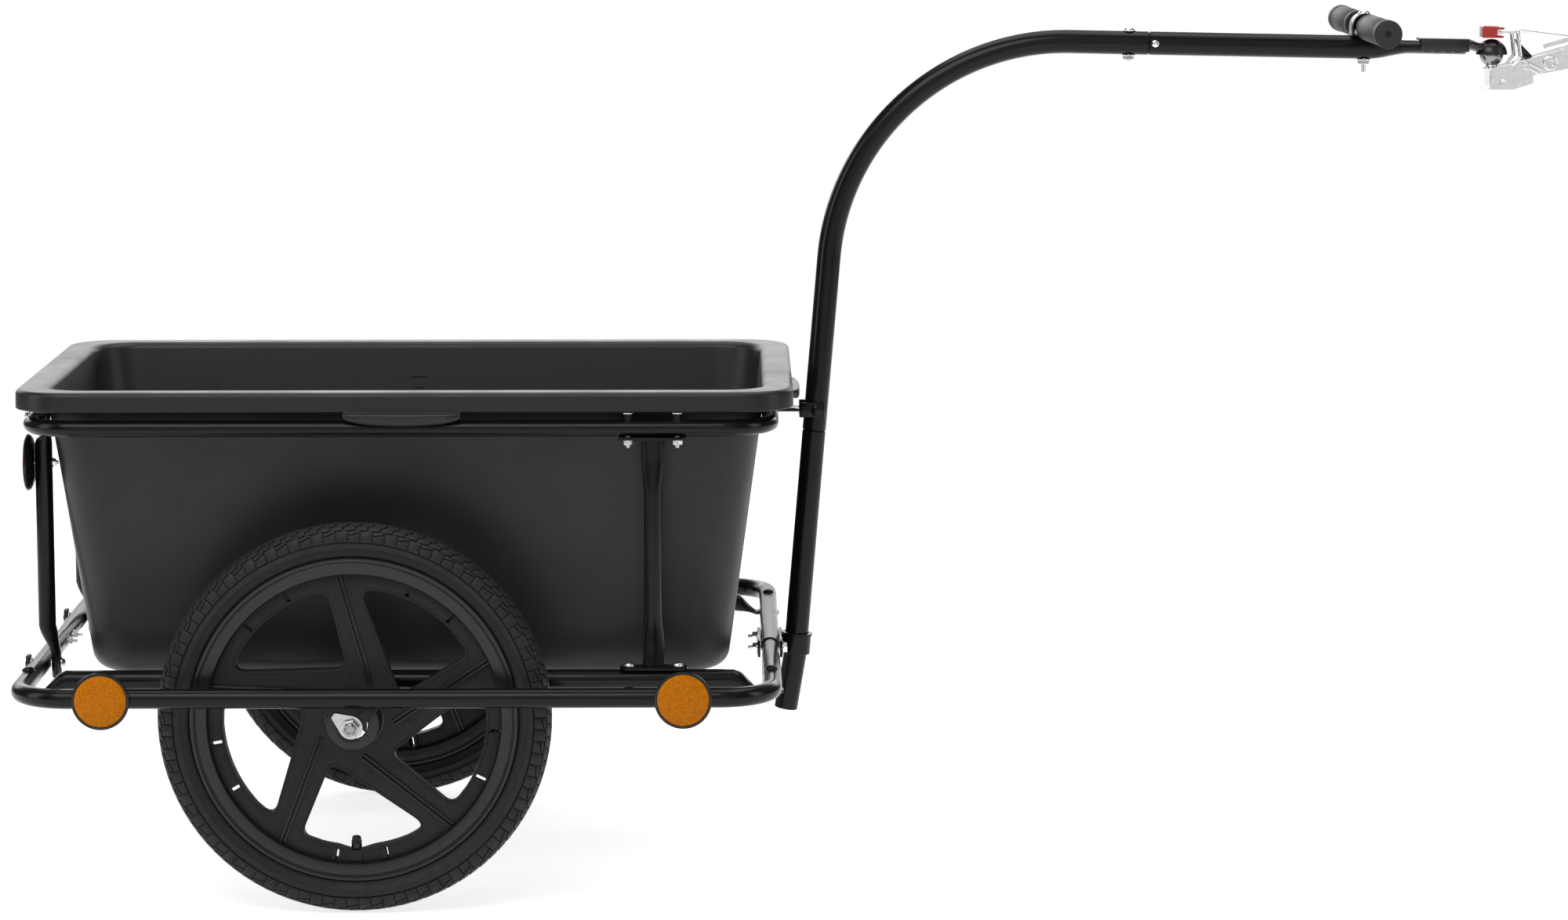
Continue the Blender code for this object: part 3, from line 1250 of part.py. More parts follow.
def make_handle(trailer):
    """The cross handle: bar, two grips, the saddle over its middle and the through bolt."""
    end = LEFT * (HANDLE_HALF_LENGTH - GRIP_CAP - GAP)
    bar = trailer.piece(
        "handle_bar", rod(HANDLE - end, HANDLE + end, HANDLE_RADIUS, 16), black_tube(), HANDLE
    )
    drilled = UP * (HANDLE_ABOVE_TUBE + DRILL_REACH)
    drill = trailer.helper(rod(HANDLE - drilled, HANDLE + drilled, BOLT_HOLE, 10))
    trailer.cut(bar, drill)
    for side in (-1, 1):
        start = HANDLE_HALF_LENGTH - GRIP_LENGTH
        flange = HANDLE_HALF_LENGTH - GRIP_FLANGE_LENGTH
        cap = HANDLE_HALF_LENGTH - GRIP_CAP
        bore = HANDLE_RADIUS + GAP
        profile = [
            (bore, start),
            (GRIP_RADIUS, start),
            (GRIP_RADIUS, flange),
            (GRIP_FLANGE_RADIUS, flange + GRIP_EDGE),
            (GRIP_FLANGE_RADIUS, HANDLE_HALF_LENGTH - GRIP_EDGE),
            (GRIP_FLANGE_RADIUS - GRIP_EDGE, HANDLE_HALF_LENGTH),
            (GRIP_HOLE, HANDLE_HALF_LENGTH),
            (GRIP_HOLE, cap),
            (bore, cap),
        ]
        shape = revolve(profile, 16)
        trailer.piece(f"grip_{name_of(side)}", shape, grip_rubber(), HANDLE, facing(side))
    inner = HANDLE_RADIUS + GAP
    outer = inner + SADDLE_WALL
    low = HANDLE_FOOT.z + DRAWBAR_RADIUS + 2 * GAP - HANDLE.z
    outline = [(outer, low)]
    for k in range(9):
        angle = math.pi * k / 8
        outline.append((outer * math.cos(angle), outer * math.sin(angle)))
    outline.append((-outer, low))
    outline.append((-inner, low))
    for k in range(9):
        angle = math.pi * (1 - k / 8)
        outline.append((inner * math.cos(angle), inner * math.sin(angle)))
    outline.append((inner, low))
    placed = [(HANDLE.x + x, HANDLE.z + z) for x, z in outline]
    shape = prism(placed, -SADDLE_HALF_LENGTH, SADDLE_HALF_LENGTH)
    saddle = trailer.piece("handle_clamp", shape, black_tube(), HANDLE)
    trailer.cut(saddle, drill)
    head = outer + GAP
    nut = -HANDLE_ABOVE_TUBE - DRAWBAR_RADIUS - GAP
    profile = [
        (BOLT_RADIUS, nut - HANDLE_STUD_BELOW),
        (BOLT_RADIUS, nut - BOLT_NUT_HEIGHT),
        (BOLT_HEAD_RADIUS, nut - BOLT_NUT_HEIGHT),
        (BOLT_HEAD_RADIUS, nut),
        (BOLT_RADIUS, nut),
        (BOLT_RADIUS, head),
        (BOLT_HEAD_RADIUS, head),
        (BOLT_CROWN_RADIUS, head + BOLT_DOME_HEIGHT),
    ]
    trailer.piece("handle_bolt", turned(profile, 10), zinc(), HANDLE, (0, 0, 0))


def slab(start, end, half_width, low, high):
    """A block along the front tube, measured from the tube's flat end and its middle line."""
    outline = []
    for along, above in ((start, low), (end, low), (end, high), (start, high)):
        point = FLAT_END + FRONT_WAY * along + DRAWBAR_NORMAL * above
        outline.append((point.x, point.z))
    return prism(outline, -half_width, half_width)


def make_coupling(trailer):
    """The head: a channel over the flattened tube, a neck and a half-round cup on the ball."""
    cup_radius = BALL_RADIUS + BALL_PLAY + CUP_WALL
    head = trailer.piece("coupling_head", ball_shape(BALL, cup_radius), black_tube(), BALL)
    inner_half = FLAT_HALF_WIDTH + GAP
    outer_half = inner_half + SLEEVE_WALL
    top = FLAT_RISE + FLAT_HALF_HEIGHT + GAP
    low = top - SLEEVE_DROP
    trailer.add(head, slab(-SLEEVE_LENGTH, SLEEVE_WALL + GAP, outer_half, low, top + SLEEVE_WALL))
    trailer.cut(head, slab(-2 * SLEEVE_LENGTH, GAP, inner_half, 2 * low, top))
    neck = FLAT_END + FRONT_WAY * (2 * GAP) + DRAWBAR_NORMAL * (top + SLEEVE_WALL - NECK_HALF_HEIGHT)
    route = [
        neck,
        neck + FRONT_WAY * (2 * SLEEVE_WALL),
        (BALL.x + NECK_WAIST[0], 0, BALL.z + NECK_WAIST[1]),
        (BALL.x + NECK_END[0], 0, BALL.z + NECK_END[1]),
    ]
    wide = (inner_half, NECK_HALF_HEIGHT)
    narrow = (NECK_HALF_WIDTH, NECK_HALF_HEIGHT)
    sizes = [wide, wide, narrow, (NECK_HALF_WIDTH, NECK_END_HALF_HEIGHT)]
    trailer.add(head, sweep(route, sizes, LEFT, 10))
    trailer.cut(head, ball_shape(BALL, BALL_RADIUS + BALL_PLAY))
    below = (BALL.x - cup_radius - CUP_WALL, -cup_radius - CUP_WALL, BALL.z - 2 * cup_radius)
    above = (BALL.x + cup_radius + CUP_WALL, cup_radius + CUP_WALL, BALL.z)
    trailer.cut(head, box(below, above))
    trailer.piece("hitch_ball", ball_shape(BALL, BALL_RADIUS, 16), zinc(), BALL)


def arm_point(ahead, above):
    """A point of the bracket's arms, by its distances along and across their rise."""
    x = POST_AXIS_AHEAD + ahead * math.cos(ARM_RISE) - above * math.sin(ARM_RISE)
    z = -ARM_BELOW + ahead * math.sin(ARM_RISE) + above * math.cos(ARM_RISE)
    return x, z


def bracket_outline():
    """The side plate: deep under the ball, stepping up to the arms that hold the seat post."""
    front = ARM_END - POST_AXIS_AHEAD
    return [
        (-BRACKET_BACK, -TOP_PLATE_BELOW),
        BRACKET_STEP,
        BRACKET_NECK,
        arm_point(0.0, ARM_HALF_HEIGHT),
        arm_point(front, ARM_HALF_HEIGHT),
        arm_point(front, -ARM_HALF_HEIGHT),
        arm_point(-ARM_ROOT_BACK, -ARM_HALF_HEIGHT),
        (BRACKET_HEEL_X, -BRACKET_HEEL_TOP),
        (BRACKET_HEEL_X, -BRACKET_HEEL_BOTTOM),
        (BRACKET_STEP[0], -BRACKET_DROP),
        (-BRACKET_BACK, -BRACKET_DROP),
    ]


def hitch_rod(point, low, high, radius, sides=12):
    """A rod across the bracket at a point measured from the ball's centre."""
    x, z = BALL.x + point[0], BALL.z + point[1]
    return rod((x, low, z), (x, high, z), radius, sides)


def make_bracket(trailer):
    """The folded steel bracket on the seat post, with the pad that carries the ball."""
    outline = [(BALL.x + x, BALL.z + z) for x, z in bracket_outline()]
    outer = BRACKET_INNER_Y + PLATE_THICKNESS
    bracket = trailer.piece(
        "hitch_bracket", prism(outline, -outer, -BRACKET_INNER_Y), zinc(), BALL
    )
    top = BALL.z - TOP_PLATE_BELOW
    back = BALL.x - BRACKET_BACK
    side = outer - PLATE_INSET
    foot = BALL.z - BRACKET_DROP + PLATE_INSET
    cover = box((back, -side, top - PLATE_THICKNESS), (BALL.x + COVER_AHEAD, side, top))
    flange = box(
        (back - PLATE_INSET, -side, foot), (back + PLATE_THICKNESS, side, top - PLATE_INSET)
    )
    lip_side = outer - LIP_INSET
    lip = box(
        (back - LIP_REACH, -lip_side, foot), (back + FUSE, lip_side, foot + LIP_THICKNESS)
    )
    pad_low = Vector((BALL.x, 0, top - FUSE))
    pad_high = Vector((BALL.x, 0, BALL.z - BALL_RADIUS + COLLAR_PAD_UP))
    trailer.add(
        bracket,
        prism(outline, BRACKET_INNER_Y, outer),
        cover,
        flange,
        lip,
        rod(pad_low, pad_high, COLLAR_PAD_RADIUS, 12),
    )
    reach = 2 * outer
    holes = [ball_shape(BALL, BALL_RADIUS + BALL_PLAY)]
    for sign in (-1, 1):
        screw = arm_point(sign * CLAMP_SCREW_OFFSET, 0)
        holes.append(hitch_rod(screw, -reach, reach, CLAMP_SCREW_RADIUS + GAP))
    holes.append(hitch_rod(LOCK_PIN, -reach, reach, LOCK_PIN_RADIUS + GAP))
    holes.append(hitch_rod(SIDE_HOLE, -reach, reach, SIDE_HOLE_RADIUS, 10))
    holes.append(hitch_rod(LATCH_PIVOT, -reach, reach, LATCH_WIRE + GAP, 10))
    holes.append(hitch_rod(KEEPER_FOOT, -reach, 0, KEEPER_WIRE + GAP, 8))
    trailer.cut(bracket, *holes)


def make_hitch_fasteners(trailer):
    """Two clamp bolts across the arms, and the lock pin with its head."""
    outer = BRACKET_INNER_Y + PLATE_THICKNESS + GAP
    head = outer + CLAMP_SCREW_HEAD_HEIGHT
    for name, sign in (("rear", -1), ("front", 1)):
        x, z = arm_point(sign * CLAMP_SCREW_OFFSET, 0)
        place = (BALL.x + x, 0, BALL.z + z)
        profile = [
            (CLAMP_SCREW_HEAD, -head),
            (CLAMP_SCREW_HEAD, -outer),
            (CLAMP_SCREW_RADIUS, -outer),
            (CLAMP_SCREW_RADIUS, outer),
            (CLAMP_SCREW_HEAD, outer),
            (CLAMP_SCREW_HEAD, head),
        ]
        shape = turned(profile, 12)
        trailer.piece(f"clamp_bolt_{name}", shape, zinc(), place, facing(1))
    place = (BALL.x + LOCK_PIN[0], 0, BALL.z + LOCK_PIN[1])
    profile = [
        (LOCK_PIN_HEAD, -outer - LOCK_PIN_HEAD_HEIGHT),
        (LOCK_PIN_HEAD, -outer),
        (LOCK_PIN_RADIUS, -outer),
        (LOCK_PIN_RADIUS, outer + LOCK_PIN_PROUD),
    ]
    pin = trailer.piece("lock_pin", turned(profile, 12), zinc(), place, facing(-1))
    middle = clip_plane()
    start, end = clip_leg(middle, 0.0)
    way = (end - start).normalized()
    trailer.cut(pin, rod(start - way * DRILL_REACH, end + way * DRILL_REACH, CLIP_WIRE + GAP, 8))


def clip_plane():
    """Where the spring clip lies across the pin."""
    return -(BRACKET_INNER_Y + PLATE_THICKNESS + GAP + CLIP_FROM_PLATE)


def clip_leg(y, offset):
    """Ends of a leg of the spring clip, square to the pin's axis."""
    way = Vector((math.cos(CLIP_ANGLE), 0, math.sin(CLIP_ANGLE)))
    across = Vector((-math.sin(CLIP_ANGLE), 0, math.cos(CLIP_ANGLE)))
    centre = Vector((BALL.x + LOCK_PIN[0], y, BALL.z + LOCK_PIN[1])) + across * offset
    return centre - way * CLIP_LEG_TIP, centre + way * CLIP_LEG_BACK


def make_clip(trailer):
    """The spring clip: a leg through the pin, a loop and a leg outside it."""
    y = clip_plane()
    tip, back = clip_leg(y, 0.0)
    outside_tip, outside_back = clip_leg(y, CLIP_LEG_OFFSET)
    way = (back - tip).normalized()
    bow = (back + outside_back) / 2
    radius = CLIP_LEG_OFFSET / 2
    route = [tip, back]
    for k in range(1, 6):
        angle = math.pi * k / 6
        down = (back - bow).normalized()
        route.append(bow + down * (radius * math.cos(angle)) + way * (radius * math.sin(angle)))
    route += [outside_back, outside_tip]
    trailer.piece("r_clip", sweep(route, CLIP_WIRE, LEFT, 8), zinc(), tip)


def make_latch(trailer):
    """The wire frame that folds over the cup, its lever, its grip and the keeper wire."""
    arm_y = BRACKET_INNER_Y + PLATE_THICKNESS + LATCH_CLEARANCE + LATCH_WIRE
    inner_y = BRACKET_INNER_Y + GAP
    corners = []
    for side in (-1, 1):
        points = [
            (LATCH_PIVOT[0], side * inner_y, LATCH_PIVOT[1]),
            (LATCH_PIVOT[0], side * arm_y, LATCH_PIVOT[1]),
            (LATCH_ELBOW[0], side * arm_y, LATCH_ELBOW[1]),
            (LATCH_TOP[0], side * arm_y, LATCH_TOP[1]),
        ]
        corners += points if side < 0 else points[::-1]
    places = [BALL + Vector(corner) for corner in corners]
    route = rounded(places, LATCH_BEND, 2)
    pivot = BALL + Vector((LATCH_PIVOT[0], 0, LATCH_PIVOT[1]))
    bail = trailer.piece("latch_bail", sweep(route, LATCH_WIRE, FORWARD, 8), zinc(), pivot)
    lever_low = (BALL.x + LEVER_END, -LEVER_HALF_WIDTH, BALL.z + LEVER_HEIGHT - LEVER_HALF_HEIGHT)
    lever_high = (
        BALL.x + LATCH_TOP[0], LEVER_HALF_WIDTH, BALL.z + LEVER_HEIGHT + LEVER_HALF_HEIGHT
    )
    trailer.add(bail, box(lever_low, lever_high))
    low = (BALL.x + LATCH_GRIP_BACK, -LATCH_GRIP_HALF_WIDTH, BALL.z + LATCH_GRIP_BOTTOM)
    high = (BALL.x + LATCH_GRIP_FRONT, LATCH_GRIP_HALF_WIDTH, BALL.z + LATCH_GRIP_TOP)
    grip = trailer.piece("latch_grip", box(low, high), red_plastic(), pivot)
    bevel = grip.modifiers.new("rounded_edges", "BEVEL")
    bevel.width = LATCH_GRIP_EDGE
    bevel.segments = 2
    slot_low = Vector(lever_low) - Vector((GAP, GAP, GAP))
    slot_high = Vector(lever_high) + Vector((0, GAP, GAP))
    cup = BALL_RADIUS + BALL_PLAY + CUP_WALL
    trailer.cut(grip, box(slot_low, slot_high), ball_shape(BALL, cup + 2 * GAP))

    keeper_y = -KEEPER_Y
    plate_y = -(BRACKET_INNER_Y + GAP)
    corners = [
        (KEEPER_START[0], keeper_y, KEEPER_START[1]),
        (KEEPER_BEND[0], keeper_y, KEEPER_BEND[1]),
        (KEEPER_FOOT[0], keeper_y, KEEPER_BEND[1] - KEEPER_DIP),
        (KEEPER_FOOT[0], keeper_y, KEEPER_FOOT[1]),
        (KEEPER_FOOT[0], plate_y, KEEPER_FOOT[1]),
    ]
    places = [BALL + Vector(corner) for corner in corners]
    route = rounded(places, KEEPER_BEND_RADIUS, 2)
    trailer.piece("keeper_wire", sweep(route, KEEPER_WIRE, LEFT, 8), zinc())


def main():
    clear_scene()
    trailer = Trailer()
    make_tub(trailer)
    make_hoop(trailer)
    rear_leg_x = 0.0
    for side in (-1, 1):
        slot = trailer.helper(axle_slot(side))
        make_frame_half(trailer, side, slot)
        make_inner_rail(trailer, side, slot)
        make_front_leg(trailer, side)
        rear_leg_x = make_rear_leg(trailer, side)
        make_wheel(trailer, side)
        make_axle(trailer, side)
    make_reflectors(trailer, rear_leg_x)
    make_clamp(trailer)
    stay_bolt = make_stay(trailer)
    make_drawbar(trailer, stay_bolt)
    make_handle(trailer)
    make_coupling(trailer)
    make_bracket(trailer)
    make_hitch_fasteners(trailer)
    make_clip(trailer)
    make_latch(trailer)
    trailer.centre_on_origin()


main()
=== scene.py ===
"""Fine pieces, finishes and studio for a bicycle trailer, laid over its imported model.

Metres; +X is forwards, +Y left and +Z up. Pieces are drawn in a frame whose X = 0 is the
wheel axle and whose Z = 0 is the ground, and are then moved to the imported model's place.
"""

import math

import bmesh
import bpy
import numpy as np
from bpy.props import FloatProperty, FloatVectorProperty, IntProperty, PointerProperty
from mathutils import Matrix, Vector, geometry


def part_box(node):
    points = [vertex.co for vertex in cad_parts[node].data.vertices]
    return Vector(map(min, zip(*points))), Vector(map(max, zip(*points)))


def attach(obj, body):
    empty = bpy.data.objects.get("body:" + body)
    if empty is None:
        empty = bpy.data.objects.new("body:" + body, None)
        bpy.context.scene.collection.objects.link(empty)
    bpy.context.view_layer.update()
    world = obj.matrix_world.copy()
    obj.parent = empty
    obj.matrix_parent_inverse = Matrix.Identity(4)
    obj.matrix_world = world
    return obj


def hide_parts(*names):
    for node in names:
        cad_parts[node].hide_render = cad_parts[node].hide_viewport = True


bl_info = {
    "name": "Bicycle trailer",
    "version": (1, 0, 0),
    "blender": (4, 5, 0),
    "location": "3D View > Sidebar > Trailer",
    "description": "Dresses a tub trailer with its fine pieces, finishes and studio",
    "category": "Object",
}

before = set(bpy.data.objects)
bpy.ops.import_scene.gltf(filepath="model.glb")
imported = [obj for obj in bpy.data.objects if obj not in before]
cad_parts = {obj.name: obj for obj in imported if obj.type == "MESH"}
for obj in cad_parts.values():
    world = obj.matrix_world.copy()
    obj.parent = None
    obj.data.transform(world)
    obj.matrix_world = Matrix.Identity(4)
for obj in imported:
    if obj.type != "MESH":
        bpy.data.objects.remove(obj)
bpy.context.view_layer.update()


def node_middle(node):
    """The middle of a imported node's box."""
    low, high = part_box(node)
    return (Vector(low) + Vector(high)) / 2


def mid(x, z):
    """A point on the trailer's middle plane."""
    return Vector((x, 0, z))


WHEEL = node_middle("tyre_right")
SHIFT = Vector((WHEEL.x, 0, 0))
UP = Vector((0, 0, 1))
FORWARD = Vector((1, 0, 0))
LEFT = Vector((0, 1, 0))
GAP = 0.0003
SHARP = math.radians(50)

# Tub
TUB_X = 0.0475
FLOOR_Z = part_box("tub")[0].z
RIM_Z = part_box("tub")[1].z
SKIRT_DEPTH = 0.0201
SKIRT_Z = RIM_Z - SKIRT_DEPTH
WALL = 0.003
FLOOR_HALF = (0.330, 0.173)
TOP_HALF = (0.3675, 0.212)
RIM_HALF = (0.3985, 0.242)
TUB_CORNER = 0.045
RIM_CORNER = 0.052
FLOOR_EDGE = 0.019
GRIP_HALF = 0.060

# Frame
RAIL_RADIUS = 0.010
NARROW_RADIUS = 0.0085
RAIL_Z = 0.229
NARROW_LENGTH = 0.090
TAB_DROP = 0.0038
HOOP_RADIUS = 0.0085
HOOP_CORNER = 0.050
HOOP_Z = 0.4885
HOOP_X = (-0.33575, 0.42225)
BAR_X = (-0.33775, 0.42325)
INNER_Y = 0.23496
OUTER_Y = 0.33856
INNER_DROPOUT_Y = 0.24096
FRAME_CORNER = 0.055
MOUTHS_Y = (0.008, -0.050)
LEG_X = 0.302
LEG_RADIUS = 0.009
LEG_BOLTS = 0.025
REAR_LEG_Y = 0.140
REAR_LEG_X = -0.3313
AMBER_X = (-0.249, 0.3335)
RED_Z = 0.441

# Wheels
AXLE_Z = 0.200
WHEEL_Y = abs(WHEEL.y)
WEB_RADIUS = 0.1490
WINDOW_RADIUS = 0.1334
WEB_HALF = 0.008
HUB_RADIUS = 0.027
HUB_HALF = 0.035
SPOKES = 5
SPOKE_ANGLE = math.radians(106.5)
SPOKE_OFFSET = 0.028
RIB_END = 0.1484
SLOT_TURNS = (math.radians(22.5), math.radians(43.0))
# The rim's outer section from the web to the bead seat, as radius and half width
RIM_SECTION = [
    (0.1475, 0.0070), (0.1481, 0.0086), (0.1488, 0.0150), (0.1496, 0.0164), (0.1514, 0.0168),
    (0.1600, 0.0172), (0.1608, 0.0166), (0.1614, 0.0166), (0.1622, 0.0178), (0.1640, 0.0185),
    (0.1656, 0.0182), (0.1666, 0.0172), (0.1668, 0.0158), (0.1535, 0.0150),
]

# Drawbar
TUBE = 0.0125
POST_LEAN = math.radians(4.8)
POST_UP = mid(math.sin(POST_LEAN), math.cos(POST_LEAN))
STUB_BOTTOM = mid(0.4404, 0.1529)
STUB_TOP = mid(0.4504, 0.2120)
POST_CLAMP = mid(0.4514, 0.2245)
POST_JOINT = mid(0.4707, 0.4550)
BEND_CENTRE = mid(0.7354, 0.6190)
BEND_START = mid(0.4862, 0.6399)
FRONT_SLOPE = math.radians(1.1)
FRONT_WAY = mid(math.cos(FRONT_SLOPE), -math.sin(FRONT_SLOPE))
FRONT_UP = mid(math.sin(FRONT_SLOPE), math.cos(FRONT_SLOPE))
FRONT_JOINT = mid(0.8241, 0.8673)
JOINT_BOLT = mid(0.8031, 0.8677)
BUTTON = mid(0.8301, 0.8672)
FLAT_START = mid(1.0651, 0.8627)
FLAT_END = mid(1.1591, 0.8609)
HANDLE = mid(1.0518, 0.8852)
HANDLE_HALF = 0.1827
HANDLE_RADIUS = 0.011

# Hitch
BALL = mid(1.1876, 0.8550)
BALL_RADIUS = 0.0125
CHEEK_OUTSIDE = 0.0183
PIN_X, PIN_Z = 0.0342, -0.0120


def colour(name, about, default):
    return FloatVectorProperty(
        name=name, description=about, subtype="COLOR", size=3, min=0, max=1, default=default
    )


def length(name, about, most, default):
    return FloatProperty(
        name=name, description=about, subtype="DISTANCE", unit="LENGTH", min=0, max=most, default=default
    )


class TrailerFinishes(bpy.types.PropertyGroup):
    """Colours and gloss of the trailer's finishes."""

    tube_colour: colour("Tubes", "Powder coat of the frame and drawbar", (0.0075, 0.0075, 0.0075))
    tube_roughness: FloatProperty(
        name="Tube roughness", description="Gloss of the powder coat",
        subtype="FACTOR", min=0, max=1, default=0.2,
    )
    tub_colour: colour("Tub", "Plastic of the tub", (0.0150, 0.0152, 0.0154))
    wheel_colour: colour("Wheels", "Plastic of the wheels", (0.013, 0.013, 0.013))
    tyre_colour: colour("Tyres", "Rubber of the tyres", (0.015, 0.015, 0.015))
    amber_colour: colour("Amber", "Side reflectors", (0.80, 0.240, 0.003))
    red_colour: colour("Red", "Rear reflectors and the latch's grip", (0.52, 0.050, 0.042))


class TrailerSizes(bpy.types.PropertyGroup):
    """Sizes of the fine detail on the trailer."""

    tube_sides: IntProperty(
        name="Tube sides", description="Sides of each round tube", min=12, max=64, default=32,
    )
    tread_blocks: IntProperty(
        name="Tread blocks", description="Blocks round each tyre", min=60, max=140, default=96,
    )
    tread_depth: length("Tread depth", "Depth of the grooves", 0.003, 0.0019)
    rib_height: length("Rib height", "Height of the ribs on the spokes", 0.006, 0.0028)
    edge: length("Plate edge", "Rounding of the thin plates' edges", 0.001, 0.0005)


def sizes():
    return bpy.context.scene.trailer_sizes


def finishes():
    return bpy.context.scene.trailer_finishes


# Finishes


def shader_node(tree, kind, **values):
    """A node with its settings and inputs. An input that is given an output is linked to it."""
    made = tree.nodes.new("ShaderNode" + kind)
    for key, value in values.items():
        if hasattr(made, key):
            setattr(made, key, value)
            continue
        slot = made.inputs[key.replace("_", " ")]
        if isinstance(value, bpy.types.NodeSocket):
            tree.links.new(value, slot)
        else:
            slot.default_value = value
    return made


def ranged(tree, source, start, end):
    """A linked value taken from one range to another."""
    made = shader_node(
        tree, "MapRange", From_Min=start[0], From_Max=start[1], To_Min=end[0], To_Max=end[1], Value=source
    )
    return made.outputs["Result"]


class Finish:
    """A Principled material with its nodes, made once for each name."""

    def __init__(self, name, colour, roughness, metallic=0.0, specular=0.5):
        self.data = bpy.data.materials.new(name)
        self.data.use_nodes = True
        self.tree = self.data.node_tree
        self.shader = self.tree.nodes["Principled BSDF"]
        self.shader.inputs["Base Color"].default_value = (*colour, 1)
        self.shader.inputs["Roughness"].default_value = roughness
        self.shader.inputs["Metallic"].default_value = metallic
        self.shader.inputs["Specular IOR Level"].default_value = specular
        self.data.diffuse_color = (*colour, 1)
        self.place = self.tree.nodes.new("ShaderNodeTexCoord").outputs["Object"]

    def node(self, kind, **values):
        return shader_node(self.tree, kind, **values)

    def link(self, source, target):
        self.tree.links.new(source, target)

    def noise(self, scale, detail=3.0, roughness=0.5, stretch=None):
        place = self.place
        if stretch:
            place = self.node("Mapping", Scale=stretch, Vector=place).outputs["Vector"]
        made = self.node("TexNoise", Scale=scale, Detail=detail, Roughness=roughness, Vector=place)
        return made.outputs["Fac"]

    def tint(self, source, first, second):
        """Base colour that drifts between two colours."""
        made = self.node("Mix", data_type="RGBA")
        made.inputs[6].default_value = (*first, 1)
        made.inputs[7].default_value = (*second, 1)
        self.link(source, made.inputs[0])
        self.link(made.outputs[2], self.shader.inputs["Base Color"])

    def rough(self, source, low, high):
        self.link(ranged(self.tree, source, (0.3, 0.7), (low, high)), self.shader.inputs["Roughness"])

    def bump(self, height, distance, strength, below=None):
        made = self.node("Bump", Distance=distance, Strength=strength, Height=height)
        if below:
            self.link(below, made.inputs["Normal"])
        self.link(made.outputs["Normal"], self.shader.inputs["Normal"])
        return made.outputs["Normal"]


def shade(colour, factor):
    return tuple(min(1.0, c * factor) for c in colour)


def recipes():
    """Each finish's colour, gloss, specular level and metallic, then three noises with two values
    each: the shades of its colour, what the gloss gains, and the grain's depth and strength."""
    own = finishes()
    made = {
        # Plastic of the tub, a little cloudy over large faces
        "black_moulded_plastic": (
            own.tub_colour, 0.4, 0.38, 0,
            (5, 2), 0.86, 1.16, (18,), -0.04, 0.05, (420, 4, 0.65), 0.0001, 0.4,
        ),
        # Glass-filled plastic of the wheels, smoother than the tub's, and their matt webs
        "wheel_plastic": (
            own.wheel_colour, 0.24, 0.4, 0,
            (22, 2), 0.8, 1.3, (90,), -0.04, 0.06, (900, 3), 0.00007, 0.5,
        ),
        "web_plastic": (
            shade(own.wheel_colour, 2.1), 0.5, 0.2, 0,
            (30, 3), 0.85, 1.15, (110,), -0.06, 0.06, (1000, 3), 0.00008, 0.5,
        ),
        "tyre_rubber": (
            own.tyre_colour, 0.6, 0.35, 0,
            (30, 4), 0.75, 1.5, (75,), -0.1, 0.08, (1300, 4, 0.7), 0.0001, 0.6,
        ),
        "grip_rubber": (
            (0.058, 0.058, 0.058), 0.52, 0.12, 0,
            (40,), 0.050 / 0.058, 0.068 / 0.058, (100,), -0.04, 0.1, (1100, 3), 0.0001, 0.6,
        ),
    }
    # Powder coat with a faint orange peel, glossy on tubes and satin on the coupling head
    for name, satin, specular in (("black_powder_coat", 0, 0.22), ("satin_powder_coat", 0.12, 0.6)):
        made[name] = (
            own.tube_colour, own.tube_roughness + satin, specular, 0,
            (14,), 0.8, 1.4, (60,), -0.04, 0.06, (700, 2), 0.00006, 0.5,
        )
    # Zinc plate with rolled streaks, small spangles and uneven gloss
    for name, colour, gloss in (
        ("zinc_plated_steel", (0.93, 0.93, 0.935), 0.25), ("bright_zinc", (0.90, 0.90, 0.905), 0.17),
        ("grey_zinc", (0.52, 0.52, 0.515), 0.3), ("dull_zinc", (0.32, 0.32, 0.32), 0.22),
    ):
        made[name] = (
            colour, gloss, 0.5, 1,
            (120, 3), 0.93, 1.06, (240, 2), -0.06, 0.1, (500, 3, 0.5, (1, 1, 6)), 0.00003, 0.4,
        )
    for name, colour in (("black_gloss_plastic", (0.012, 0.012, 0.013)), ("red_plastic", own.red_colour)):
        made[name] = (
            colour, 0.25, 0.4, 0,
            (60,), 0.85, 1.3, (150,), -0.05, 0.07, (350, 2), 0.00005, 0.3,
        )
    return made


def coat(name, recipe):
    """A finish made by its recipe."""
    colour, gloss, specular, metallic = recipe[:4]
    tint, first, second, rough, low, high, grain, depth, strength = recipe[4:]
    made = Finish(name, colour, gloss, metallic, specular)
    made.tint(made.noise(*tint), shade(colour, first), shade(colour, second))
    made.rough(made.noise(*rough), gloss + low, gloss + high)
    return made, made.bump(made.noise(*grain), depth, strength)


def lens(name, colour):
    """A reflector's lens: small corner prisms under a clear, slightly scratched face."""
    made = Finish(name, colour, 0.28, specular=0.1)
    cells = made.node("TexVoronoi", Scale=900, Randomness=0.25, Vector=made.place)
    split = made.node("SeparateColor", Color=cells.outputs["Color"])
    made.tint(split.outputs["Red"], shade(colour, 0.72), shade(colour, 1.16))
    made.bump(cells.outputs["Distance"], 0.0004, 0.4)
    made.shader.inputs["Coat Weight"].default_value = 0.05
    made.shader.inputs["Coat Roughness"].default_value = 0.08
    return made


def finish(name):
    """The material of that name, made when it is first asked for."""
    full = "fine_" + name
    if full in bpy.data.materials:
        return bpy.data.materials[full]
    if name in ("amber_lens", "red_lens"):
        return lens(full, getattr(finishes(), name.replace("lens", "colour"))).data
    made, grain = coat(full, recipes()[name])
    if name == "black_moulded_plastic":
        made.bump(made.noise(1900, 2), 0.00006, 0.6, grain)
    return made.data


# Shapes


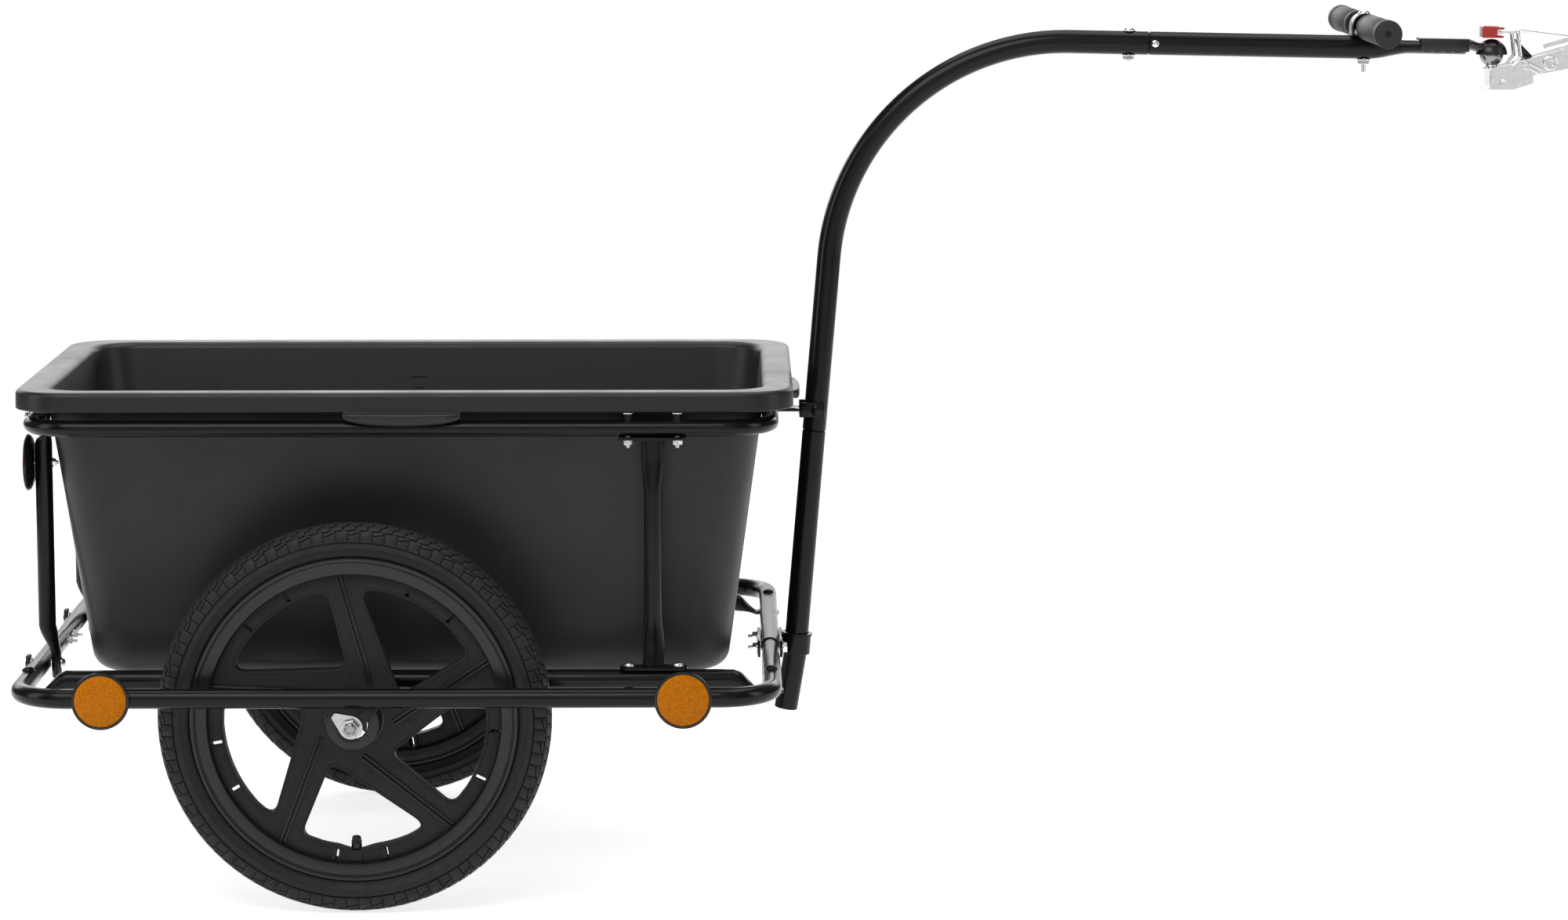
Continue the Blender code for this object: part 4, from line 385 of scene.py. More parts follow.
def skin(rings, closed=False):
    """A mesh over rings of equally many points, joined end to end or capped."""
    mesh = bmesh.new()
    rows = [[mesh.verts.new(point) for point in ring] for ring in rings]
    count = len(rows[0])
    pairs = list(zip(rows, rows[1:]))
    if closed:
        pairs.append((rows[-1], rows[0]))
    for here, there in pairs:
        for k in range(count):
            after = (k + 1) % count
            mesh.faces.new((here[k], here[after], there[after], there[k]))
    if not closed:
        mesh.faces.new(rows[0])
        mesh.faces.new(rows[-1])
    bmesh.ops.recalc_face_normals(mesh, faces=mesh.faces)
    return mesh


def polar(radius, angle):
    return radius * math.cos(angle), radius * math.sin(angle)


def arc(radius, first, last, steps):
    """The points of an arc about the origin, both ends among them."""
    return [polar(radius, first + (last - first) * k / steps) for k in range(steps + 1)]


def circle(radius, steps):
    return arc(radius, 0, 2 * math.pi, steps)[:-1]


def quarter_turn(steps):
    """Angles from nought to a right angle."""
    return [math.pi / 2 * k / steps for k in range(steps + 1)]


def revolve(profile, sides):
    """A ring about local Z, from a closed profile of (radius, height) points."""
    rings = []
    for k in range(sides):
        angle = 2 * math.pi * k / sides
        rings.append([(*polar(radius, angle), z) for radius, z in profile])
    return skin(rings, closed=True)


def turned(profile, sides=24, first=0.0):
    """A solid about local Z, from (radius, height) points that run from end to end."""
    angles = [first + 2 * math.pi * k / sides for k in range(sides)]
    return skin([[(*polar(radius, angle), z) for angle in angles] for radius, z in profile])


def sweep(path, half, across, sides=None, closed=False):
    """A tube along a path. A size is a radius, or half sizes along `across` and square to it."""
    points = [Vector(point) for point in path]
    sides = sides or sizes().tube_sides
    if not isinstance(half, list):
        half = [half] * len(points)
    count = len(points)
    rings = []
    side = Vector(across).normalized()
    for i, point in enumerate(points):
        if closed:
            along = points[(i + 1) % count] - points[i - 1]
        else:
            along = points[min(i + 1, count - 1)] - points[max(i - 1, 0)]
        along.normalize()
        side = (side - along * side.dot(along)).normalized()
        normal = along.cross(side)
        wide, deep = half[i] if isinstance(half[i], tuple) else (half[i], half[i])
        ring = []
        for k in range(sides):
            angle = 2 * math.pi * (k + 0.5) / sides
            ring.append(point + side * (wide * math.cos(angle)) + normal * (deep * math.sin(angle)))
        rings.append(ring)
    return skin(rings, closed)


def tube_run(stations, across, sides=None, lip=0.0006, steps=7):
    """A tube whose section eases from station to station, with softly rounded ends."""
    path, half = [], []
    for (start, first), (end, last) in zip(stations, stations[1:]):
        start, end, first, last = Vector(start), Vector(end), pair(first), pair(last)
        parts = 1 if first == last else steps
        for k in range(parts):
            share = k / parts
            eased = share * share * (3 - 2 * share)
            path.append(start.lerp(end, share))
            half.append(tuple(a + (b - a) * eased for a, b in zip(first, last)))
    path.append(Vector(stations[-1][0]))
    half.append(pair(stations[-1][1]))
    way_in = (path[1] - path[0]).normalized()
    way_out = (path[-1] - path[-2]).normalized()
    path = [path[0], path[0] + way_in * lip] + path[1:-1] + [path[-1] - way_out * lip, path[-1]]
    half = [shrunk(half[0], lip), half[0]] + half[1:-1] + [half[-1], shrunk(half[-1], lip)]
    return sweep(path, half, across, sides)


def pair(size):
    return size if isinstance(size, tuple) else (size, size)


def shrunk(size, amount):
    return tuple(value - amount for value in pair(size))


def rod(start, end, radius, sides=24):
    """A plain cylinder between two points."""
    start, end = Vector(start), Vector(end)
    way = (end - start).normalized()
    across = LEFT if abs(way.dot(LEFT)) < 0.9 else UP
    return sweep([start, end], radius, across, sides)


def prism(outline, low, high, axes="xz"):
    """An outline in the XZ or XY plane, extruded along the third axis from low to high."""
    if axes == "xz":
        return skin([[(x, y, z) for x, z in outline] for y in (low, high)])
    return skin([[(x, y, z) for x, y in outline] for z in (low, high)])


def box(low, high):
    """A box between two opposite corners."""
    corners = [(low[0], low[2]), (high[0], low[2]), (high[0], high[2]), (low[0], high[2])]
    return prism(corners, low[1], high[1])


def soften(shape, width=None, segments=2):
    """Rounds the shape's sharp edges."""
    sharp = [e for e in shape.edges if e.is_manifold and e.calc_face_angle() > SHARP]
    bmesh.ops.bevel(
        shape, geom=sharp, offset=width or sizes().edge, segments=segments,
        profile=0.5, affect="EDGES", clamp_overlap=True,
    )
    return shape


def join(*shapes):
    """Several shapes as one mesh."""
    whole = bmesh.new()
    for shape in shapes:
        data = bpy.data.meshes.new("part")
        shape.to_mesh(data)
        shape.free()
        whole.from_mesh(data)
        bpy.data.meshes.remove(data)
    return whole


def moved(shape, matrix):
    bmesh.ops.transform(shape, matrix=matrix, verts=shape.verts)
    return shape


def aim(point, way):
    """The place at a point whose local Z runs along `way`."""
    turn = Vector(way).to_track_quat("Z", "Y").to_matrix().to_4x4()
    return Matrix.Translation(Vector(point)) @ turn


def facing(side):
    """The place at a wheel's middle, local Z out of the given side and local Y up."""
    turn = Matrix.Rotation(math.pi / 2, 4, "X")
    if side > 0:
        turn = Matrix.Rotation(math.pi, 4, "Z") @ turn
    return Matrix.Translation((0, side * WHEEL_Y, AXLE_Z)) @ turn


def rounded(corners, radius, steps=8, closed=False):
    """A route through the corners, each turned into an arc."""
    corners = [Vector(corner) for corner in corners]
    count = len(corners)
    route = []
    for i, here in enumerate(corners):
        if not closed and i in (0, count - 1):
            route.append(here)
            continue
        back = (corners[i - 1] - here).normalized()
        ahead = (corners[(i + 1) % count] - here).normalized()
        half = back.angle(ahead) / 2
        centre = here + (back + ahead).normalized() * (radius / math.sin(half))
        first = here + back * (radius / math.tan(half)) - centre
        last = here + ahead * (radius / math.tan(half)) - centre
        turn = Matrix.Rotation(first.angle(last) / steps, 3, first.cross(last).normalized())
        for _ in range(steps + 1):
            route.append(centre + first)
            first = turn @ first
    return route


def flat_rounded(corners, radius, steps=5):
    """A closed outline of (x, y) points with round corners."""
    route = rounded([Vector((x, y, 0)) for x, y in corners], radius, steps, closed=True)
    return [(point.x, point.y) for point in route]


def level_rectangle(half_x, half_y, radius, z, steps=10):
    """The points of a level rectangle round the tub's middle, with round corners. One more
    point beside each arc keeps the shading of the straight runs flat."""
    points = []
    for quarter, (sx, sy) in enumerate(((1, 1), (-1, 1), (-1, -1), (1, -1))):
        for k in range(-1, steps + 2):
            angle = math.pi / 2 * (quarter + min(max(k, 0), steps) / steps)
            beside = 0.004 * ((k > steps) - (k < 0))
            x = TUB_X + sx * (half_x - radius) + radius * math.cos(angle) - beside * math.sin(angle)
            y = sy * (half_y - radius) + radius * math.sin(angle) + beside * math.cos(angle)
            points.append((x, y, z))
    return points


def half_ball(radius, low, steps):
    """The profile of a ball from the height `low` up to its top."""
    return arc(radius, math.asin(low / radius), math.pi / 2, steps)[:-1] + [(1e-5, radius)]


def hex_nut(radius, height, z):
    """A hexagon with its corners turned down."""
    cut = 0.12 * height
    top = z + height
    return turned([(0.9 * radius, z), (radius, z + cut), (radius, top - cut), (0.9 * radius, top)], 6, 0.3)


def disc(radius, z, height):
    """A washer or a plain head with its edge broken."""
    cut = min(0.0003, height / 3)
    top = z + height
    return turned([(radius - cut, z), (radius, z + cut), (radius, top - cut), (radius - cut, top)])


def thread(radius, start, end, pitch=0.001):
    """A threaded end, as ridges."""
    profile = [(radius * 0.85, start)]
    z = start
    while z < end - pitch:
        profile += [(radius, z + pitch * 0.35), (radius, z + pitch * 0.55), (radius * 0.86, z + pitch)]
        z += pitch
    return turned(profile + [(radius * 0.7, end)], 16)


def bolt(at, way, grip, radius=0.003, tip=0.002, head="dome"):
    """A bolt through `grip` of metal. `at` is the face under its head, `way` points to the nut."""
    wide, tall, thin = 2 * radius, 1.5 * radius, 0.0011
    start = grip + thin
    shapes = [turned([(radius, -thin), (radius, start)], 12)]
    shapes += [disc(wide * 1.18, -thin, thin), disc(wide * 1.18, grip, thin)]
    if head == "hex":
        shapes.append(hex_nut(wide, tall * 0.85, -thin - tall * 0.85))
    elif head == "dome":
        dome = [(wide * math.cos(a), -thin - 0.8 * tall * math.sin(a)) for a in (1.45, 1.1, 0.75, 0.35, 0)]
        shapes.append(turned(dome))
    shapes += [hex_nut(wide, tall, start), thread(radius, start + tall * 0.9, start + tall + tip)]
    return moved(join(*shapes), aim(at, way))


def piece(name, shape, nodes=(), look="black_powder_coat", body="chassis", sharp=35):
    """Links a mesh, gives it its finish and body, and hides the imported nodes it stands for."""
    bmesh.ops.translate(shape, verts=shape.verts, vec=SHIFT)
    item = linked(name, shape, finish(look))
    item.data.shade_smooth()
    item.data.set_sharp_from_angle(angle=math.radians(sharp))
    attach(item, body)
    for node in [nodes] if isinstance(nodes, str) else nodes:
        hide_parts(node)


def linked(name, shape, look):
    """A new object in the scene, from a shape and its material."""
    data = bpy.data.meshes.new(name)
    shape.to_mesh(data)
    shape.free()
    data.materials.append(look)
    item = bpy.data.objects.new(name, data)
    bpy.context.scene.collection.objects.link(item)
    return item


def name_of(side):
    return "left" if side > 0 else "right"


class PieceOperator:
    """What the operators share: an undo step and a finished result."""

    bl_options = {"REGISTER", "UNDO"}

    def execute(self, context):
        self.make()
        return {"FINISHED"}


# Tub


def tub_half(z, axis):
    share = (z - FLOOR_Z) / (SKIRT_Z - FLOOR_Z)
    return FLOOR_HALF[axis] + (TOP_HALF[axis] - FLOOR_HALF[axis]) * share


class TRAILER_OT_tub(PieceOperator, bpy.types.Operator):
    """Makes the moulded tub with its rolled rim, finger grips and level ticks"""

    bl_idname = "trailer.tub"
    bl_label = "Tub"

    def make(self):
        rings = []

        def body(z, inset, less=0.0):
            half = [tub_half(z, axis) - inset for axis in (0, 1)]
            rings.append(level_rectangle(*half, TUB_CORNER - less, z))

        def rim(inset, z):
            half = [value - inset for value in RIM_HALF]
            rings.append(level_rectangle(*half, RIM_CORNER - inset, z))

        turns = quarter_turn(8)
        for angle in turns:
            inset = FLOOR_EDGE * (1 - math.sin(angle))
            body(FLOOR_Z + FLOOR_EDGE * (1 - math.cos(angle)), inset, 0.6 * inset)
        body(FLOOR_Z + FLOOR_EDGE + 0.006, 0.0)
        under = RIM_Z - WALL
        for drop, inset in ((0.012, 0.0), (0.004, 0.0), (0.001, -0.001), (0.0, -0.004)):
            body(under - drop, inset)
        for inset, z in (
            (WALL + 0.004, under), (WALL + 0.001, under - 0.001), (WALL, under - 0.004),
            (WALL, SKIRT_Z + 0.0008), (WALL - 0.0008, SKIRT_Z), (0.0008, SKIRT_Z), (0.0, SKIRT_Z + 0.0008),
        ):
            rim(inset, z)
        edge, lip = 0.0055, 0.007
        for angle in quarter_turn(5):
            rim(0.0002 + edge * (1 - math.cos(angle)), RIM_Z - edge + edge * math.sin(angle))
        for angle in quarter_turn(6):
            body(RIM_Z - lip * (1 - math.cos(angle)), WALL - lip + lip * math.sin(angle))
        for angle in reversed(turns):
            inset = FLOOR_EDGE * (1 - math.sin(angle))
            body(FLOOR_Z + WALL + FLOOR_EDGE * (1 - math.cos(angle)), WALL + inset, 0.6 * inset)
        grips = [self.finger_grip(quarter * math.pi / 2, RIM_HALF[quarter % 2]) for quarter in range(4)]
        shape = join(skin(rings), *grips, *self.ticks())
        piece("moulded_tub", shape, "tub", "black_moulded_plastic", "lift_out_tub", 40)

    def finger_grip(self, heading, reach):
        """A half-moon lip under the skirt, swelling outwards and down at its middle."""
        rings = []
        stations = 28
        for k in range(stations + 1):
            along = GRIP_HALF * math.sin(math.pi * (k / stations - 0.5)) * 0.995
            swell = math.sqrt(max(0.0, 1 - (along / GRIP_HALF) ** 2))
            out = 0.0022 + 0.0068 * swell
            low = SKIRT_Z - 0.0052 - 0.0082 * swell
            section = [
                (-0.0026, SKIRT_Z + 0.0006), (-0.0004, SKIRT_Z + 0.0006), (0.0, SKIRT_Z - 0.0003),
                (0.5 * out, SKIRT_Z - 0.0006), (0.8 * out, SKIRT_Z - 0.0011), (out, SKIRT_Z - 0.0026),
                (out, low + 0.0026), (out - 0.0008, low + 0.0008), (out - 0.0022, low),
                (-0.0004, low + 0.0004), (-0.0026, low + 0.0010),
            ]
            rings.append([(reach + aside, along, z) for aside, z in section])
        place = Matrix.Translation((TUB_X, 0, 0)) @ Matrix.Rotation(heading, 4, "Z")
        return moved(skin(rings), place)

    def ticks(self):
        """Faint raised ticks of a level scale on the far inner wall."""
        made = []
        x = TUB_X - 0.012
        for k in range(8):
            z = SKIRT_Z - 0.018 - 0.012 * k
            wall = tub_half(z, 1) - WALL
            half = 0.009 if k % 2 == 0 else 0.005
            made.append(box((x - half, wall - 0.0005, z - 0.0006), (x + half, wall + 0.001, z + 0.0006)))
        return made


# Frame


class TRAILER_OT_hoop(PieceOperator, bpy.types.Operator):
    """Makes the upper hoop and the bolt heads that the tub's skirt rests on"""

    bl_idname = "trailer.hoop"
    bl_label = "Upper hoop"

    def make(self):
        rear, front = HOOP_X
        corners = [(front, INNER_Y), (rear, INNER_Y), (rear, -INNER_Y), (front, -INNER_Y)]
        route = rounded([(x, y, HOOP_Z) for x, y in corners], HOOP_CORNER, 12, closed=True)
        shapes, heads = [sweep(route, HOOP_RADIUS, UP, closed=True)], []
        tall = SKIRT_Z - GAP - HOOP_Z
        head = 0.0022
        cap = tall - head
        profile = [(0.0052, cap), (0.0060, cap + 0.0005), (0.0060, tall - 0.0006), (0.0050, tall)]
        for side in (-1, 1):
            for shift in (-LEG_BOLTS, LEG_BOLTS):
                place = Vector((LEG_X + shift, side * INNER_Y, HOOP_Z))
                # Each bolt's shank up to its zinc cap is drawn in the hoop's black powder coat: painted
                # shade for the dark gap under the skirt
                shapes.append(rod(place, place + UP * cap, 0.0042, 20))
                heads.append(moved(turned(profile), Matrix.Translation(place)))
        piece("hoop_tube", join(*shapes), "upper_hoop")
        piece("hoop_bolt_heads", join(*heads), (), "bright_zinc")


def dropout_plate(y, side):
    """The plate that hangs from a rail, with the open slot that the axle sits in."""
    top = RAIL_Z - AXLE_Z - 0.003
    nose, slot = 0.016, 0.0053
    way = math.radians(-40)
    spread = math.asin(slot / nose)
    outline = [(-0.030, top), (0.030, top), (0.030, top - 0.006)]
    outline += arc(nose, math.radians(15), way + spread, 4)
    outline += arc(slot, way + math.pi / 2, way + math.pi * 1.5, 12)
    outline += arc(nose, way - spread, math.radians(-195), 14)
    outline.append((-0.030, top - 0.006))
    placed = [(x, AXLE_Z + z) for x, z in outline]
    return soften(prism(placed, side * y - 0.002, side * y + 0.002), 0.0006)


class TRAILER_OT_frame(PieceOperator, bpy.types.Operator):
    """Makes the two halves of the lower frame, the inner rails and their bolts"""

    bl_idname = "trailer.frame"
    bl_label = "Lower frame"

    def make(self):
        for side in (-1, 1):
            self.half(side)
            self.inner_rail(side)
        deep = 2 * RAIL_RADIUS
        back = BAR_X[0] - RAIL_RADIUS + 0.0006
        joints = [
            bolt((back, MOUTHS_Y[0] + y, RAIL_Z), FORWARD, deep - 0.0012, 0.0025, 0.005)
            for y in (-0.020, 0.018)
        ]
        top = RAIL_Z + RAIL_RADIUS - 0.0005
        bolts = [bolt((x, y, top), -UP, deep + TAB_DROP) for y in (-INNER_Y, INNER_Y) for x in BAR_X]
        piece("frame_joint_bolts", join(*joints), (), "zinc_plated_steel")
        piece("rail_bolts", join(*bolts))

    def half(self, side):
        """A half of the frame, from its narrowed end round to its plain open end."""
        near, far = BAR_X[::side]
        mouth, end = MOUTHS_Y[::side]
        reach = 0.040 if side > 0 else 0.095
        outer = side * OUTER_Y
        corners = [(near, mouth - side * reach), (near, outer), (far, outer), (far, end)]
        route = rounded([(x, y, RAIL_Z) for x, y in corners], FRAME_CORNER, 14)
        steps, lip = 6, 0.0007
        shares = [k / steps for k in range(steps + 1)]
        taper = [Vector((near, mouth + side * (GAP + NARROW_LENGTH * s), RAIL_Z)) for s in shares]
        way = (route[-2] - route[-1]).normalized()
        route = route[:1] + taper + route[1:-1] + [route[-1] + way * lip, route[-1]]
        half = [NARROW_RADIUS + (RAIL_RADIUS - NARROW_RADIUS) * s for s in [0.0] + shares]
        half += [RAIL_RADIUS] * (len(route) - len(half) - 1) + [RAIL_RADIUS - lip]
        shape = join(sweep(route, half, UP), dropout_plate(OUTER_Y, side))
        piece(f"outer_rail_{name_of(side)}", shape, f"frame_half_{name_of(side)}")

    def inner_rail(self, side):
        y = side * INNER_Y
        tab_z = RAIL_Z - RAIL_RADIUS - GAP - 0.002
        flat = (0.013, 0.002)
        rear, front = (
            [
                ((x - way * 0.012, y, tab_z), (0.010, 0.002)), ((x - way * 0.006, y, tab_z), flat),
                ((x + way * 0.014, y, tab_z), flat), ((x + way * 0.039, y, RAIL_Z), RAIL_RADIUS),
            ]
            for x, way in zip(BAR_X, (1, -1))
        )
        shape = join(tube_run(rear + front[::-1], LEFT, lip=0.0003), dropout_plate(INNER_DROPOUT_Y, side))
        piece(f"inner_tube_{name_of(side)}", shape, f"inner_rail_{name_of(side)}")


class TRAILER_OT_legs(PieceOperator, bpy.types.Operator):
    """Makes the front and rear legs between the rails and the hoop, with their bolts"""

    bl_idname = "trailer.legs"
    bl_label = "Legs"

    def make(self):
        for side in (-1, 1):
            self.front(side)
            self.rear(side)

    def front(self, side):
        y = side * INNER_Y
        name = name_of(side)
        low = RAIL_Z + RAIL_RADIUS + GAP
        high = HOOP_Z - HOOP_RADIUS - GAP
        flat, thick = (0.0115, 0.006), 0.003
        sizes_at = (
            (low + 0.001, flat), (low + 0.022, flat), (low + 0.060, LEG_RADIUS),
            (high - 0.060, LEG_RADIUS), (high - 0.022, flat), (high - 0.001, flat),
        )
        shapes = [tube_run([((LEG_X, y, z), size) for z, size in sizes_at], FORWARD)]
        corners = [(-0.0345, -0.010), (0.0345, -0.010), (0.0345, 0.010), (-0.0345, 0.010)]
        outline = [(LEG_X + px, y + py) for px, py in flat_rounded(corners, 0.0075)]
        for bottom in (low, high - thick):
            shapes.append(soften(prism(outline, bottom, bottom + thick, "xy")))
        piece(f"front_upright_{name}", join(*shapes), f"front_leg_{name}")
        bolts = []
        for x in (LEG_X - LEG_BOLTS, LEG_X + LEG_BOLTS):
            bolts.append(bolt((x, y, HOOP_Z), -UP, HOOP_RADIUS + thick + GAP, 0.0028, 0.003, "none"))
            bolts.append(bolt((x, y, low + thick), -UP, 2 * RAIL_RADIUS + thick + GAP, 0.0028))
        piece(f"front_upright_bolts_{name}", join(*bolts), (), "bright_zinc")

    def rear(self, side):
        y = side * REAR_LEG_Y
        name = name_of(side)
        low_x = BAR_X[0] + RAIL_RADIUS + GAP + 0.005
        high_x = HOOP_X[0] + HOOP_RADIUS + GAP + 0.002
        flat, foot = (0.012, 0.002), (0.012, 0.005)
        stations = [
            ((x, y, z), size) for x, z, size in (
                (low_x, RAIL_Z - 0.014, (0.009, 0.005)), (low_x, RAIL_Z - 0.009, foot),
                (low_x, RAIL_Z + 0.012, foot), (REAR_LEG_X, RAIL_Z + 0.040, LEG_RADIUS),
                (REAR_LEG_X, HOOP_Z - 0.0285, LEG_RADIUS), (high_x, HOOP_Z - 0.0115, flat),
                (high_x, HOOP_Z + 0.0085, flat),
            )
        ]
        piece(f"rear_upright_{name}", tube_run(stations, LEFT, lip=0.0003), f"rear_leg_{name}")
        lower = bolt((low_x + 0.005, y, RAIL_Z), -FORWARD, 2 * RAIL_RADIUS + 0.0105, 0.0028)
        turns = [2 * math.pi * k / 48 for k in range(48)]
        points = [polar(0.0086 + 0.0016 * math.cos(6 * angle), angle) for angle in turns]
        star = soften(prism(points, 0.0, 0.0048, "xy"), 0.0008)
        at = (BAR_X[0] - RAIL_RADIUS - 0.0014, y, RAIL_Z)
        piece(f"star_nut_{name}", moved(star, aim(at, -FORWARD)), (), "black_gloss_plastic")
        upper = bolt((high_x + 0.002, y, HOOP_Z), -FORWARD, 2 * HOOP_RADIUS + 0.0045, 0.0025, 0.001)
        piece(f"rear_upright_bolts_{name}", join(lower, upper), (), "zinc_plated_steel")


class TRAILER_OT_reflectors(PieceOperator, bpy.types.Operator):
    """Makes the six round reflectors: housings, lenses, studs and nuts"""

    bl_idname = "trailer.reflectors"
    bl_label = "Reflectors"

    def make(self):
        for side in (-1, 1):
            way = LEFT * side
            for end, x in zip(("rear", "front"), AMBER_X):
                at = (x, side * (OUTER_Y + RAIL_RADIUS + GAP), RAIL_Z)
                self.one("amber", f"{end}_{name_of(side)}", at, way, (0.029, 0.026, 0.0047), RAIL_RADIUS)
            at = (REAR_LEG_X - LEG_RADIUS - GAP, side * REAR_LEG_Y, RED_Z)
            self.one("red", name_of(side), at, -FORWARD, (0.0295, 0.0265, 0.008), LEG_RADIUS)

    def one(self, colour, where, at, way, size, tube):
        """A reflector from its radius, its lens's radius and its depth, on a tube of that radius."""
        radius, inner, thick = size
        through = 2 * (tube + GAP)
        seat = thick - 0.003
        edge = 0.0008
        back = [(radius - 2 * edge, 0.0), (radius - 0.4 * edge, 0.5 * edge), (radius, 2 * edge)]
        if colour == "red":
            back = [
                (radius * (0.42 + 0.58 * math.sin(a)), (thick - edge) * (1 - math.cos(a)))
                for a in quarter_turn(8)
            ]
            radius, inner = radius - 0.0004, radius - 0.0016
        shell = turned([(0.006, 0.0)] + back + [
            (radius, thick - edge * 0.9), (radius - 0.3 * edge, thick - 0.3 * edge),
            (radius - edge, thick), (inner + 0.0006, thick), (inner + GAP, thick - 0.0006),
            (inner + GAP, seat),
        ], 64)
        glass = turned([
            (inner, seat + GAP), (inner, thick - 0.0002), (inner - 0.0003, thick + 0.0004),
            (inner - 0.001, thick + 0.0008), (inner * 0.6, thick + 0.001), (inner * 0.2, thick + 0.001),
        ], 64)
        stud = join(
            turned([(0.0022, -through), (0.0022, 0.0)], 12),
            disc(0.0052, -through - 0.0008, 0.0008),
            hex_nut(0.0042, 0.0026, -through - 0.0034),
            thread(0.0021, -through - 0.0058, -through - 0.003, 0.0007),
        )
        for kind, shape, node, look in (
            ("shell", shell, f"{colour}_housing_{where}", "black_gloss_plastic"),
            ("glass", glass, f"{colour}_lens_{where}", f"{colour}_lens"),
            ("stud", stud, (), "zinc_plated_steel"),
        ):
            piece(f"{colour}_{kind}_{where}", moved(shape, aim(at, way)), node, look)


# Wheels


# The tyre's outer section from its crown to its bead, as radius and half width
TYRE_GUIDE = np.array([
    (0.2000, 0.0), (0.1997, 0.0042), (0.1990, 0.0085), (0.1978, 0.0130), (0.1963, 0.0165),
    (0.1940, 0.0194), (0.1910, 0.0217), (0.1880, 0.0229), (0.1845, 0.0234), (0.1830, 0.0235),
    (0.1800, 0.0231), (0.1770, 0.0223), (0.1763, 0.0225), (0.1758, 0.0218), (0.1706, 0.0193),
    (0.1700, 0.0188), (0.1694, 0.0191), (0.1688, 0.0186), (0.1676, 0.0168), (0.1660, 0.0150),
    (0.1540, 0.0146),
])
TYRE_INSIDE = np.array([
    (0.1540, -0.0110), (0.1800, -0.0190), (0.1950, -0.0080),
    (0.1950, 0.0080), (0.1800, 0.0190), (0.1540, 0.0110),
])
TYRE_ARC = np.concatenate([[0], np.cumsum(np.hypot(*np.diff(TYRE_GUIDE, axis=0).T))])
TREAD_EDGE = 0.0330
# Kinds of tread block: first pitch, pitches between two, corners as (pitches, arc), and rows
TREAD_BLOCKS = (
    (0, 2, ((0.05, 0.0199), (0.95, 0.0209), (0.95, 0.0327), (0.05, 0.0327)), 9),
    (1, 2, ((0.05, 0.0199), (0.95, 0.0209), (0.95, 0.0250), (0.05, 0.0220)), 6),
    (1, 2, ((0.05, 0.0232), (0.95, 0.0262), (0.95, 0.0327), (0.05, 0.0327)), 7),
    (0, 1, ((0.40, 0.0107), (1.30, 0.0125), (1.45, 0.0197), (0.55, 0.0187)), 7),
    (0, 1, ((0.00, 0.0008), (0.88, 0.0008), (1.05, 0.0110), (0.15, 0.0094)), 7),
)


def tyre_points(turn, arc_length, height):
    """Points of a tyre about local Z: turns round it, arcs from its crown, heights over it."""
    far = np.abs(arc_length)
    step = 0.0015

    def guide(places):
        return np.array([np.interp(places, TYRE_ARC, TYRE_GUIDE[:, k]) for k in (0, 1)])

    slope = guide(far + step) - guide(far - step)
    length_there = np.hypot(*slope)
    radius, half = guide(far)
    radius = radius + height * slope[1] / length_there
    half = half - height * slope[0] / length_there
    angle = 2 * np.pi * turn
    z = np.sign(arc_length) * half + 0 * angle
    return np.stack([radius * np.cos(angle), radius * np.sin(angle), z], -1)


def tyre_carcass(depth):
    """The tyre without its blocks."""
    places = np.concatenate([
        np.linspace(0, TREAD_EDGE, 14), [TREAD_EDGE + 0.0005, TREAD_EDGE + 0.0014],
        TYRE_ARC[TYRE_ARC > TREAD_EDGE + 0.002],
    ])
    height = np.where(places <= TREAD_EDGE + 1e-6, -depth, 0.0)
    height[14] = -0.6 * depth
    places = np.concatenate([places[::-1], -places[1:]])
    height = np.concatenate([height[::-1], height[1:]])
    columns = 2 * sizes().tread_blocks
    turn = np.arange(columns)[:, None] / columns
    outside = tyre_points(turn, places[None, :], height[None, :])
    angle = 2 * np.pi * turn
    radius, z = TYRE_INSIDE.T
    inside = np.stack([radius * np.cos(angle), radius * np.sin(angle), z + 0 * angle], -1)
    return skin(np.concatenate([outside, inside], 1).tolist(), closed=True)


def tyre_blocks(depth):
    """The tread's blocks, each a closed patch with a bevelled top that stands in the carcass."""
    count = sizes().tread_blocks // 2 * 2
    points, faces = [], []
    for first, step, corners, rows in TREAD_BLOCKS:
        low_left, low_right, high_right, high_left = (np.array(corner) for corner in corners)
        tall = high_left[1] - low_left[1]
        inner = np.linspace(0.0006 / tall, 1 - 0.0006 / tall, rows - 4)
        v = np.concatenate([[-0.0003 / tall, 0], inner, [1, 1 + 0.0003 / tall]])[None, :, None]
        u = np.array([-0.025, 0, 0.05, 0.5, 0.95, 1, 1.025])[:, None, None]
        flat = (low_left * (1 - u) + low_right * u) * (1 - v) + (high_left * (1 - u) + high_right * u) * v
        wide, high = flat.shape[:2]
        i, j = np.meshgrid(np.arange(wide), np.arange(high), indexing="ij")
        rank = np.minimum.reduce([i, wide - 1 - i, j, high - 1 - j])
        height = np.choose(np.minimum(rank, 2), [-depth - 0.0005, -0.0004, 0.0])
        starts = np.arange(first, count, step)[:, None, None]
        loop = [(a, 0) for a in range(wide)] + [(wide - 1, b) for b in range(1, high)]
        loop += [(a, high - 1) for a in range(wide - 2, -1, -1)] + [(0, b) for b in range(high - 2, 0, -1)]
        for hand in (-1, 1):
            turn = (starts + flat[None, :, :, 0] + 0.25 * hand) / count
            for block in tyre_points(turn, hand * flat[None, :, :, 1], height[None]):
                base = len(points)
                points += block.reshape(-1, 3).tolist()
                for a in range(wide - 1):
                    for b in range(high - 1):
                        corner = base + a * high + b
                        faces.append((corner, corner + high, corner + high + 1, corner + 1))
                faces.append([base + a * high + b for a, b in reversed(loop)])
    data = bpy.data.meshes.new("part")
    data.from_pydata(points, [], faces)
    shape = bmesh.new()
    shape.from_mesh(data)
    bpy.data.meshes.remove(data)
    return outwards(shape)


